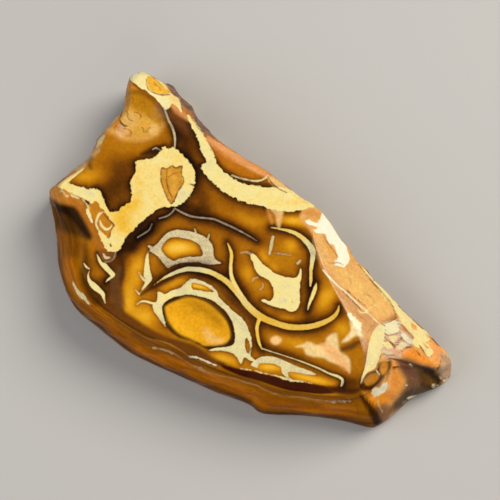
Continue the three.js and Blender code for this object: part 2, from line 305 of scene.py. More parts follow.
# the polished pattern, in picture places: outlines of pale opal with their holes
paleCells = {
    "tip": {"gold": 0.46, "white": 0.15, "rag": 0.6, "halo": 3.0, "dark": 0.5, "outline": [
        (124, 78), (128, 73), (134, 69), (140, 68), (148, 71), (155, 75), (161, 80), (165, 85), (169, 91),
        (174, 95.5), (178, 98), (180, 102), (181, 107), (182, 112), (180, 111), (177, 107), (173, 104),
        (171, 105), (169, 108), (165, 109.5), (162, 106), (158, 101), (153, 96), (149, 93), (146, 90),
        (142, 89), (138, 86), (134, 83), (129.5, 80)],
        "holes": [
            [(147, 76.5), (153, 77), (159.5, 82), (164.5, 87.5), (169, 93.5), (163, 94.2), (155, 92),
             (149.5, 89), (147, 83)]]},
    "club": {"gold": 0.54, "rag": 1.5, "halo": 4.0, "dark": 0.8, "outline": [
        (163.5, 147), (169, 148), (175, 148.5), (186, 158), (194, 170), (194.5, 182), (189, 196),
        (180, 204.5), (169, 208), (162, 206.5), (149.5, 214.5), (138, 225.5), (127, 236.5), (122.5, 244),
        (119, 250), (113, 252), (107, 250.5), (103, 243.5), (100, 236), (97.8, 229), (101, 232),
        (106, 236.5), (109, 238.5), (111, 234), (112, 229), (114, 225), (111, 221), (107, 215), (102, 209),
        (98, 203), (95, 200.5), (92, 204), (88, 201.5), (82, 198), (76, 195.5), (68, 191), (61, 188),
        (60, 185), (63, 182), (68, 183), (72, 185), (80, 186.8), (85, 187.8), (89, 190), (94, 188.5),
        (98, 189.5), (101, 193), (103, 199), (106, 206), (108.5, 212.5), (113, 211.5), (118.5, 211),
        (121, 207.5), (127, 204), (130, 203), (132, 194.5), (130.5, 182), (135.5, 173.5), (135.5, 162.5),
        (144, 159), (152, 158), (160.5, 152)],
        "holes": [
            [(161.5, 168.5), (166.5, 169), (172, 166), (176, 168), (182, 166), (181.5, 173.5), (184, 182),
             (178.5, 190.5), (172.5, 203), (168.5, 200.5), (163.5, 189), (161, 179.5)]]},
    "upperBand": {"gold": 0.46, "rag": 1.5, "halo": 5.0, "dark": 0.9, "outline": [
        (187, 115), (191, 126), (196, 134), (199, 142), (201, 151), (206, 162), (201, 166), (205, 174),
        (212, 181), (218, 187), (228, 194.5), (239, 200), (251, 203.5), (262, 205.5), (270, 209.5),
        (282, 211.5), (296, 210.5), (307, 208.5), (314, 205), (297, 193), (290, 190), (282, 187),
        (272, 187.5), (258, 186), (246, 184), (237, 180.5), (231, 176), (223, 171.5), (217, 164),
        (213, 153), (209, 144), (204, 135), (197, 126), (191, 117.5)]},
    "crescentRing": {"gold": 0.22, "rag": 0.5, "halo": 3.0, "dark": 0.72, "outline": [
        (150, 250), (153, 247), (158, 243), (163, 237), (169, 232), (176, 230), (185, 230.5), (193, 232),
        (202, 235.5), (209, 240.5), (213, 247), (213.5, 255), (216, 260), (221, 263.5), (208, 264.5),
        (200, 262.5), (190, 262), (180, 263), (172, 265.5), (168, 268), (163, 263), (158, 256.5),
        (153, 253)],
        "holes": [
            [(161, 249), (164, 243), (169, 238.5), (176, 237), (185, 238.5), (194, 241), (200, 246),
             (203, 255), (196, 257), (187, 257), (179, 259), (174, 261), (169, 258.5), (165, 255)]]},
    "bigRing": {"gold": 0.33, "rag": 0.6, "halo": 2.2, "dark": 0.5, "outline": [
        (153, 309), (153.5, 303), (157, 301), (157.5, 292), (161, 292), (165, 294.5), (172, 290.5),
        (181, 287.5), (188, 280.5), (193, 279), (200, 280.5), (208, 284), (216, 290), (219, 297),
        (226, 304), (234, 312), (241, 317), (246.5, 325), (250.7, 336), (251.8, 347), (250.5, 356),
        (256, 361), (250, 360.5), (244, 357), (241, 364), (237, 357), (231, 352.5), (220, 350.5),
        (208, 351), (217, 347.8), (227, 346.8), (233, 344.5), (235.3, 338), (234.6, 330), (232, 321),
        (224.5, 310), (212.5, 300.5), (201, 296.5), (190, 294.5), (177, 296), (168, 300), (162, 306),
        (163, 314), (166, 327), (160, 319)],
        "holes": [
            [(192, 283), (198, 283.5), (206, 286), (214, 291.7), (207, 292), (198, 290), (192, 289)],
            [(246, 337), (249.5, 343), (250, 350), (247.5, 354), (245, 346)]]},
    "fishTail": {"gold": 0.44, "rag": 0.7, "halo": 3.2, "dark": 0.64, "outline": [
        (250, 253.5), (255, 255), (261, 262), (268, 268), (275, 273), (283, 276.5), (290, 277.5),
        (296, 277.5), (299, 273), (301, 268), (301.5, 275), (300, 283), (299.5, 296), (299.5, 304),
        (296, 310), (291, 312), (285, 309), (279, 308), (270, 305), (261, 301), (264, 299), (268, 301),
        (273, 298.5), (274, 291), (271, 283), (267, 279), (260, 276), (256, 271), (253.5, 264)]},
    "lens": {"gold": 0.27, "rag": 0.4, "halo": 1.6, "dark": 0.35, "outline": [
        (251, 365), (253.5, 361.5), (258, 358.5), (263, 356.5), (273, 356.7), (285, 361), (297, 366.5),
        (307, 370), (317, 374.5), (308, 374.5), (300, 373), (292, 371.7), (287.5, 372), (289, 376.5),
        (292, 380.5), (286, 377), (281.7, 372), (281, 367.5), (277, 365), (271.5, 363.3), (263, 363.2),
        (259, 364), (257, 368), (254.5, 367)]},
    "blade": {"gold": 0.38, "strength": 0.96, "rag": 0.3, "halo": 1.4, "dark": 0.45, "outline": [
        (379, 325), (383, 324), (384.5, 331), (384, 339), (382, 348), (380, 356), (376, 366), (373, 369.5),
        (368, 372), (364, 377), (361, 384), (362, 376), (365, 367), (367, 355), (368.5, 346), (371, 336),
        (375, 329)]},
    "bladeHead": {"gold": 0.32, "white": 0.3, "rag": 0.5, "dark": 0.4, "outline": [
        (381, 325), (386, 322), (391, 321.5), (396, 319), (399, 322), (399, 330), (395, 333), (388, 335),
        (384, 331)]},
    "chipHigh": {"gold": 0.22, "white": 0.4, "rag": 0.5, "dark": 0.4, "outline": [
        (400, 331), (404, 333), (409, 338), (412, 344), (409, 344), (404, 341), (401, 337)]},
    "chipPink": {"white": 0.2, "strength": 0.8, "rag": 0.8, "dark": 0.3, "outline": [
        (395, 347), (399, 344), (403, 341.5), (407, 345), (402, 349), (398, 350)]},
    "chipCream": {"gold": 0.42, "strength": 0.85, "rag": 0.8, "dark": 0.3, "outline": [
        (385, 340), (389, 342), (393, 347), (388, 349), (383.5, 345)]},
    "chipMiddle": {"gold": 0.45, "strength": 0.85, "rag": 0.8, "dark": 0.4, "outline": [
        (390, 336), (396, 335), (397.5, 339), (393, 342.5), (390, 339.5)]},
    "chipLow": {"strength": 0.7, "rag": 0.8, "dark": 0.3, "outline": [
        (382, 351), (388, 351), (394, 354), (388, 353.8), (383, 353)]},
    "bevelWhite": {"gold": 0.42, "white": 1.0, "rag": 0.8, "outline": [
        (305, 221), (309, 219.5), (313, 221.5), (317, 223), (320, 219), (321.5, 214), (322, 209),
        (327, 212), (333, 220), (338, 228), (343, 237), (346, 245), (348, 252), (350, 258), (348, 263),
        (344, 267), (339, 266), (334, 264), (335.5, 259), (338, 257), (336, 250), (334, 245), (329, 243),
        (325.5, 235), (322, 233.5), (316, 233), (314, 230), (318, 228), (314, 226), (309, 225)]},
    "cloudStripe": {"gold": 0.42, "white": 0.5, "rag": 1.0, "soft": 1.6, "outline": [
        (346, 311), (351, 314), (356, 318), (360.5, 323), (361.5, 331), (357, 329), (353, 323), (349, 317)]},
    "outerStrip": {"gold": 0.4, "strength": 0.92, "rag": 0.6, "halo": 1.2, "dark": 0.35, "outline": [
        (361, 266), (368, 272), (374, 278), (383, 288), (393, 298), (404, 309), (409, 313), (417, 321),
        (424, 327.5), (428, 334), (430, 339), (428, 342), (431, 348), (434, 351), (431, 356), (428, 357),
        (424, 352), (421, 347), (419.5, 343), (418, 348), (413, 344), (412.5, 340), (414, 337), (409, 331),
        (404, 326), (401, 322), (399, 316), (395, 311), (391, 305), (384, 297), (377, 288), (369, 278),
        (363, 271)],
        "holes": [
            [(411, 322), (415.5, 325), (417.5, 330.5), (413, 329), (411, 325)],
            [(423, 340), (426, 343), (428, 348), (425, 347)]]},
    "leftSmearA": {"gold": 0.42, "rag": 0.3, "halo": 3.0, "dark": 0.6, "outline": [
        (97, 254), (99.5, 258), (102.5, 262.5), (106, 263.5), (110.5, 269), (115, 274), (113.5, 277),
        (110, 279.5), (105, 282.5), (108, 278.5), (110.5, 276), (107.5, 272.5), (103, 268), (100, 264),
        (98, 260)]},
    "leftSmearB": {"gold": 0.42, "rag": 0.3, "halo": 2.5, "dark": 0.6, "outline": [
        (89.5, 271), (88.8, 275), (91, 280), (96, 284), (101, 289), (104.5, 293.5), (105, 299),
        (105.5, 304), (103, 299), (100.5, 294.5), (94, 290), (90, 285.5), (87.5, 280), (87.5, 275)]},
    "leftSmearC": {"gold": 0.42, "white": 0.2, "rag": 0.9, "halo": 1.5, "dark": 0.4, "outline": [
        (72, 281), (75, 284), (77, 288.5), (81, 292.5), (84.5, 294.5), (86.5, 299), (90.5, 304.5),
        (87, 303), (83.5, 299.5), (79.5, 297), (76.5, 292.5), (74, 288)]},
    "zigzag": {"gold": 0.42, "rag": 0.4, "halo": 2.0, "dark": 0.5, "outline": [
        (150.5, 249.5), (148.5, 254), (149, 262), (150, 270), (152, 278.5), (148.5, 284), (143, 290),
        (140, 293), (142, 288), (146, 280.5), (144, 277), (144, 270), (145, 262), (146.5, 255)]},
    "glassyChip": {"gold": 0.45, "white": 0.9, "rag": 0.7, "dark": 0.3, "outline": [
        (383, 384), (388.5, 382.5), (387, 388), (384, 392.5), (380, 394), (376.5, 396.5), (379, 390)]},
    "glassyChipPink": {"gold": 0.42, "white": 0.75, "strength": 0.8, "rag": 0.9, "dark": 0.2, "soft": 1.3,
        "outline": [
        (371.5, 390), (377, 387), (380, 389), (376, 396), (373.5, 397.5)]},
}

# veins, and glints that are painted highlights: picture places with the width at each, in pixels
paleVeins = {
    "longSweep": {"gold": 0.75, "strength": 0.88, "rag": 0.35, "halo": 6.0, "dark": 1.0, "path": [
        (154, 285, 0.4), (160, 280.5, 1.3), (165, 277.5, 2.2), (171, 274.5, 3.0), (178, 271.5, 3.6),
        (188, 269, 4.2), (200, 269.8, 4.6), (211, 272.5, 4.8), (221.5, 278, 5.0), (230.5, 285, 5.4),
        (239.5, 295, 6.0), (248, 306, 6.4), (259, 315.5, 6.6), (271.5, 321.6, 6.0), (289, 326.8, 5.6),
        (307, 327, 5.4), (321.5, 323.4, 5.0), (332, 318, 4.0), (337.5, 312, 3.0), (339, 306, 1.0)]},
    "sweepBranchUp": {"gold": 0.65, "rag": 0.3, "halo": 5.0, "dark": 0.9, "path": [
        (227.5, 243, 0.6), (230.5, 250, 2.2), (231.5, 256, 3.0), (230.7, 267, 3.0), (231.5, 276, 3.6),
        (236, 287, 4.4), (242, 297, 4.6)]},
    "sweepBranchDown": {"gold": 0.75, "rag": 0.3, "halo": 5.0, "dark": 0.9, "path": [
        (260, 318, 4.0), (257, 327, 3.0), (258, 338, 2.8), (260, 345, 2.2), (262, 349, 1.4)]},
    "lensHairline": {"gold": 0.35, "halo": 3.5, "dark": 0.75, "path": [
        (262, 348.5, 1.0), (271, 351.5, 0.7), (280.5, 354.5, 0.7), (300, 361, 1.0), (318, 368, 1.4),
        (329, 373.4, 1.8), (338, 376.5, 2.4), (342.5, 380, 2.4), (341.5, 386, 1.5)]},
    "rightArc": {"gold": 0.6, "strength": 0.9, "rag": 0.4, "halo": 5.5, "dark": 0.95, "path": [
        (271, 227.5, 0.8), (280.5, 229, 1.8), (291, 231.5, 3.2), (300, 236, 4.2), (307.5, 243, 5.0),
        (312.6, 251, 5.6), (312.4, 260, 4.2), (311, 270, 3.0), (310.9, 279, 2.9), (310.4, 286, 1.2)]},
    "rightSliver": {"gold": 0.55, "rag": 0.3, "halo": 4.0, "dark": 0.85, "path": [
        (316.5, 283, 0.8), (315, 289, 3.6), (312.5, 296, 3.6), (309.6, 303, 2.4), (307.7, 310, 0.8)]},
    "greyHairline": {"gold": 0.02, "rag": 0.15, "halo": 4.0, "dark": 0.8, "path": [
        (175, 208.5, 1.2), (183, 213, 1.8), (190, 216, 1.8), (197, 217.3, 1.7), (204, 218, 1.6),
        (214, 219.2, 1.6), (223, 223, 1.8), (232, 227, 1.7), (240, 231, 1.5), (249, 236, 1.2),
        (257, 241, 0.6)]},
    "greyHairlineLeft": {"gold": 0.02, "halo": 3.0, "dark": 0.85, "path": [
        (175, 208.5, 1.2), (171, 213.5, 1.4), (166, 216.5, 1.4), (159, 218.5, 1.0)]},
    "greyHairlineLow": {"gold": 0.02, "halo": 3.0, "dark": 0.85, "path": [
        (152, 224, 0.8), (149, 230, 1.2), (144, 233.5, 1.2), (137.5, 237.5, 0.9)]},
    "tipHairline": {"gold": 0.12, "rag": 0.15, "halo": 3.5, "dark": 0.7, "path": [
        (163.5, 107, 1.2), (166, 113, 1.6), (168.5, 120, 2.0), (172, 127, 2.2), (174.5, 135, 2.2),
        (175, 142, 1.8), (174.5, 148.5, 1.4)]},
    "cornerThread": {"gold": 0.5, "rag": 0.5, "halo": 1.5, "dark": 0.3, "path": [
        (60, 186, 4.0), (65, 182, 4.4), (71, 177.5, 3.4), (78, 172.5, 2.4), (84, 168, 1.2)]},
    "notchFlecks": {"gold": 0.28, "strength": 0.8, "rag": 0.9, "halo": 1.2, "dark": 0.2, "path": [
        (97, 147, 2.0), (100, 141.5, 4.4), (103.8, 136, 2.8)]},
    "notchLight": {"gold": 0.36, "strength": 0.6, "rag": 0.6, "halo": 1.2, "path": [
        (106, 127.5, 1.4), (112, 122, 2.2), (118, 114, 2.6), (122, 110, 1.6)]},
    "rimThread": {"rag": 0.3, "halo": 1.2, "dark": 0.3, "path": [
        (232, 175, 1.4), (238, 177.5, 1.4), (246, 179.5, 1.5), (255, 181, 1.8), (262, 180, 1.8),
        (268, 175.5, 1.4)]},
    "ringSpurTop": {"gold": 0.18, "halo": 1.5, "dark": 0.4, "path": [(194.5, 228.5, 0.9), (196, 233, 1.6)]},
    "ringSpurRight": {"gold": 0.18, "halo": 1.5, "dark": 0.4, "path": [
        (209.5, 234, 0.9), (207.5, 240, 2.2)]},
    "ringSpurLeft": {"gold": 0.15, "rag": 0.5, "halo": 1.5, "dark": 0.4, "path": [
        (148.5, 246, 1.6), (154, 249, 4.0), (160, 250, 3.0)]},
    "zigzagBranch": {"gold": 0.4, "halo": 1.5, "dark": 0.35, "path": [
        (138.5, 272, 0.8), (142.5, 278.5, 1.8), (146, 281, 2.4)]},
    "bigRingBranch": {"gold": 0.42, "halo": 2.0, "dark": 0.4, "path": [
        (154.5, 304, 2.4), (146, 301.5, 2.0), (141, 301.5, 1.6), (137, 304.5, 1.0)]},
    "bigRingStrut": {"gold": 0.4, "rag": 0.1, "dark": 0.3, "path": [(190, 281, 2.0), (190.5, 289, 2.2)]},
    "leftTick": {"gold": 0.35, "halo": 1.5, "dark": 0.4, "path": [
        (83.8, 263, 0.6), (86.4, 267, 1.8), (89.3, 268.8, 1.2)]},
    "leftTickLow": {"gold": 0.4, "halo": 1.2, "dark": 0.3, "path": [
        (135.5, 289.8, 0.8), (139.2, 294.3, 1.5)]},
    "bevelHairline": {"white": 0.55, "dark": 0.3, "path": [
        (323, 270, 1.4), (329, 277, 2.0), (335.5, 283.5, 1.7), (347, 293.5, 1.5), (357, 303, 1.5),
        (366, 311, 1.4), (372, 317, 1.3), (379, 323.5, 1.1)]},
    "bevelCurl": {"gold": 0.45, "rag": 0.1, "halo": 0.8, "dark": 0.2, "path": [
        (357, 309, 0.8), (361, 312.5, 1.2), (366, 312, 1.2), (370, 308, 1.1), (376, 305, 0.8)]},
    "armRing": {"gold": 0.36, "rag": 0.3, "halo": 0.9, "dark": 0.25, "path": [
        (103, 212, 1.4), (99, 214.5, 2.4), (97, 219, 2.2), (96, 224, 1.8), (98, 229, 1.8),
        (101, 232.5, 1.6)]},
    "armCrescent": {"gold": 0.38, "rag": 0.3, "halo": 0.9, "dark": 0.3, "path": [
        (100, 221, 1.6), (102, 226, 2.6), (106, 229.3, 2.6), (110, 228, 1.8), (112, 225, 1.0)]},
    "armFleck": {"gold": 0.42, "rag": 0.7, "dark": 0.2, "path": [
        (87.5, 210, 3.0), (88.5, 214, 4.0), (90.5, 218, 2.2), (92, 222, 2.4)]},
    "armFleckHigh": {"strength": 0.7, "rag": 0.8, "dark": 0.2, "path": [
        (82, 198.5, 1.2), (86.5, 204, 2.4), (89, 208, 1.6)]},
    "cornerFleck": {"strength": 0.8, "rag": 0.7, "halo": 0.8, "path": [
        (60.5, 191.5, 1.6), (62.5, 191, 1.6), (66.5, 196, 2.2), (68, 196, 1.8)]},
    "cornerStreak": {"gold": 0.4, "strength": 0.8, "rag": 0.6, "halo": 0.8, "path": [
        (69, 190.5, 1.2), (72, 195.5, 1.8), (76, 197, 2.4), (79, 199, 1.2)]},
    # painted highlight on the rim of the small cup
    "cupGlint": {"strength": 0.85, "halo": 0.8, "dark": 0.3, "path": [
        (103.5, 254, 1.4), (105.5, 257.5, 2.8), (109.5, 257.5, 1.4)]},
    "cupRim": {"gold": 0.1, "strength": 0.6, "halo": 0.8, "dark": 0.2, "path": [
        (115.5, 252.5, 1.0), (114, 258, 1.4), (110, 261.5, 1.2), (105, 262, 1.0)]},
    "endThread": {"strength": 0.6, "rag": 0.4, "halo": 0.8, "path": [
        (378.5, 398, 1.2), (378, 404, 1.4), (381, 409, 1.8), (383, 413, 1.0)]},
    "ovalTick": {"gold": 0.35, "halo": 0.8, "dark": 0.3, "path": [(376.5, 370.5, 1.4), (379.5, 375, 1.2)]},
    "nickCurl": {"gold": 0.1, "rag": 0.1, "halo": 2.0, "dark": 0.8, "path": [
        (152.5, 149.5, 0.8), (156, 148, 1.4), (160, 150, 0.8)]},
    # faint painted highlights on a small ring in the face
    "bulbRingHighlight": {"strength": 0.55, "dark": 0.15, "path": [
        (252, 282, 1.0), (254, 278.5, 1.3), (258, 277.5, 1.0)]},
    "bulbRingHighlightLow": {"strength": 0.6, "dark": 0.15, "path": [
        (262.5, 283, 1.0), (263, 287, 1.6), (259.5, 290, 1.2)]},
    "bulbStroke": {"gold": 0.28, "strength": 0.8, "rag": 0.5, "halo": 1.2, "dark": 0.2, "path": [
        (273, 237, 2.6), (271.5, 244, 3.2), (269.5, 254, 2.0)]},
    "bulbStrokeLevel": {"gold": 0.1, "strength": 0.6, "rag": 0.3, "dark": 0.15, "path": [
        (274.5, 253, 1.4), (283, 254, 1.6), (291, 255.5, 1.0)]},
    "bulbFleck": {"strength": 0.75, "rag": 0.3, "dark": 0.2, "path": [
        (297.5, 263.5, 2.4), (300.5, 260.5, 2.0)]},
    "fishTailFaint": {"gold": 0.2, "strength": 0.5, "rag": 0.3, "path": [
        (240.5, 253, 1.4), (246, 252, 2.0), (251.5, 254.5, 2.6)]},
    # painted highlights along the edges of the flank, in this and the three rim glints below
    "faceEdgeGlint": {"gold": 0.25, "white": 0.5, "strength": 0.85, "rag": 0.8, "halo": 1.2, "dark": 0.3,
        "path": [
        (189, 356.5, 1.4), (193, 357, 2.0), (198, 358, 1.8), (204, 360.5, 1.5), (210, 363, 1.4),
        (216, 365.5, 1.1)]},
    "rimGlintLeft": {"white": 0.3, "strength": 0.65, "rag": 1.0, "dark": 0.2, "path": [
        (153, 348, 1.6), (159, 348.6, 1.0), (166, 350.5, 1.6), (173, 353.5, 2.0)]},
    "rimGlintMiddle": {"white": 0.2, "strength": 0.6, "rag": 1.0, "dark": 0.2, "path": [
        (195, 366.5, 1.4), (200, 368.5, 1.8), (206, 372, 1.2)]},
    "rimGlintRight": {"gold": 0.1, "white": 0.35, "strength": 0.7, "rag": 1.0, "dark": 0.2, "path": [
        (326, 401, 1.2), (334, 402, 1.8), (342, 401.5, 2.2), (351, 400.5, 2.0)]},
    "troughLip": {"gold": 0.42, "strength": 0.85, "rag": 0.9, "dark": 0.2, "path": [
        (240, 368.4, 0.3), (256, 371, 0.9), (263, 373, 1.3), (274, 375.5, 1.2), (282, 377.5, 1.8),
        (289, 380, 1.9), (297, 381, 1.0), (304, 381.8, 1.2), (313, 383.5, 0.4)]},
    # painted glints on the broken end, in the end glints and sparks below
    "endGlintA": {"gold": 0.4, "white": 0.6, "strength": 0.8, "rag": 0.9, "halo": 0.8, "path": [
        (408, 398.5, 1.6), (412, 397, 2.2), (416, 396, 1.6)]},
    "endGlintB": {"gold": 0.4, "white": 0.5, "strength": 0.7, "rag": 0.9, "halo": 0.8, "path": [
        (432, 387.5, 1.6), (435, 386, 1.8)]},
    "endGlintC": {"white": 0.3, "strength": 0.6, "rag": 0.9, "halo": 0.8, "path": [
        (402, 403, 1.4), (405, 401.5, 1.6)]},
    "endSparks": {"gold": 0.5, "white": 0.3, "strength": 0.75, "rag": 0.8, "halo": 0.6, "dark": 0.2,
        "paths": [
        [(431, 383.4, 0.9), (433, 385, 1.1)], [(436.2, 383.6, 0.8), (437.6, 385.4, 0.9)]]},
    "endGlintG": {"gold": 0.4, "white": 0.6, "strength": 0.7, "rag": 0.9, "halo": 0.6, "path": [
        (418.5, 395.5, 1.0), (421, 394, 1.2)]},
    # small white crystals of the end, with painted glints on them
    "endCrystalGlints": {"white": 0.4, "strength": 0.7, "rag": 0.9, "halo": 0.6, "paths": [
        [(405.5, 371, 1.2), (406.6, 372.4, 1.2)], [(412.6, 378.4, 1.2), (413.4, 379.6, 1.2)],
        [(403, 383, 1.2), (403.8, 384, 1.2)], [(404, 387.4, 1.2), (407.6, 384.6, 1.0)]]},
    "endGlintD": {"white": 0.3, "strength": 0.6, "rag": 0.8, "halo": 0.8, "path": [
        (410, 364, 1.4), (412, 365.5, 1.4)]},
    "knobEdge": {"white": 0.7, "strength": 0.85, "rag": 0.5, "halo": 0.8, "path": [
        (438.5, 375, 0.8), (441.5, 378.5, 1.6), (444.5, 381.5, 1.8), (448, 378, 1.0)]},
}

# soft spots of the amber: x, y, half length, half width, turn in degrees, change of tone
# (tone 0 is black brown, 1 yellow)
amberSpots = [
    (178, 248, 20, 9, -8, 0.42), (112, 190, 22, 36, 25, -0.17), (120, 176, 14, 30, 20, -0.16),
    (88, 177, 20, 8, -10, 0.18), (125, 150, 14, 10, 0, 0.12), (146, 112, 22, 22, 0, 0.06),
    (182, 128, 9, 22, -22, -0.3), (192, 168, 8, 34, -20, -0.3), (146, 232, 24, 10, -42, -0.42),
    (120, 260, 9, 12, 0, -0.22), (132, 248, 8, 8, 0, -0.3), (205, 222, 44, 8, 18, -0.12),
    (194, 208, 16, 6, 14, -0.28), (250, 214, 50, 9, 20, -0.06), (200, 200, 14, 7, 30, -0.12),
    (252, 221, 14, 6, 15, 0.13), (264, 258, 5, 8, -20, 0.16), (274, 268, 6, 4, 40, 0.16),
    (292, 221, 18, 6, 6, 0.38), (136, 272, 9, 22, 8, 0.22), (128, 300, 8, 20, -6, 0.26),
    (144, 316, 12, 10, 38, 0.26), (108, 284, 19, 26, 0, -0.24), (100, 273, 8, 5, 0, 0.14),
    (222, 252, 8, 16, -10, -0.02), (206, 276, 30, 6, 20, -0.12), (172, 284, 15, 4, -28, 0.26),
    (248, 345, 5, 12, 0, -0.1), (292, 244, 8, 8, 0, 0.24), (282, 256, 14, 10, 0, 0.04),
    (262, 288, 14, 12, 0, 0.08), (248, 274, 6, 8, 0, 0.16), (310, 295, 6, 26, 8, -0.14),
    (326, 298, 9, 12, 35, 0.26), (290, 341, 30, 6, 14, 0.16), (285, 351.5, 24, 3.5, 18, -0.14),
    (345, 360, 16, 26, 8, -0.04), (330, 345, 18, 12, 20, 0.06), (340, 327, 12, 8, 30, 0.2),
    (352, 384, 10, 8, 0, -0.28), (336, 389, 14, 3.5, 8, -0.3), (270, 367, 14, 4, 6, 0.34),
    (304, 377, 16, 4, 16, 0.3), (324, 382, 12, 4, 18, 0.2), (198, 286, 12, 3, 14, 0.42),
    (248, 346, 2.5, 8, 0, 0.25), (226, 359, 14, 5, 14, 0.24), (243, 365, 8, 3, 14, -0.02),
    (243, 232, 34, 7, 24, -0.12), (287, 318, 11, 4, 4, 0.24), (268, 311, 6, 3, 30, 0.12)
]

# gold in the pale opal: x, y, half length, half width, turn, change
goldSpots = [
    (142, 72, 6, 3, 10, 0.14), (174, 99, 6, 4, 45, 0.16), (122, 222, 8, 14, -40, 0.32),
    (138, 190, 5, 22, 5, 0.1), (128, 208, 10, 6, -30, 0.3), (182, 196, 8, 10, 40, -0.22),
    (205, 158, 6, 18, -25, -0.06), (262, 200, 26, 5, 14, 0.06), (176, 272, 22, 8, -15, -0.34),
    (200, 270, 20, 8, 0, -0.32), (226, 282, 10, 10, 0, -0.12), (110, 240, 8, 10, 0, -0.05),
    (90, 193, 14, 5, 10, -0.16), (134, 76, 6, 4, 0, -0.08), (243, 300, 13, 8, 45, -0.24),
    (166, 297, 10, 6, -20, 0.16), (176, 101, 7, 5, 45, 0.06), (312, 250, 5, 12, -6, -0.42),
    (284, 300, 2.5, 2.5, 0, -0.14), (296, 202, 12, 4, 8, 0.16)
]

# places that were never polished: x, y, half length, half width, turn, how dull
dullSpots = [(136, 120, 15, 17, 0, 1.0), (74, 222, 13, 34, -14, 1.2)]
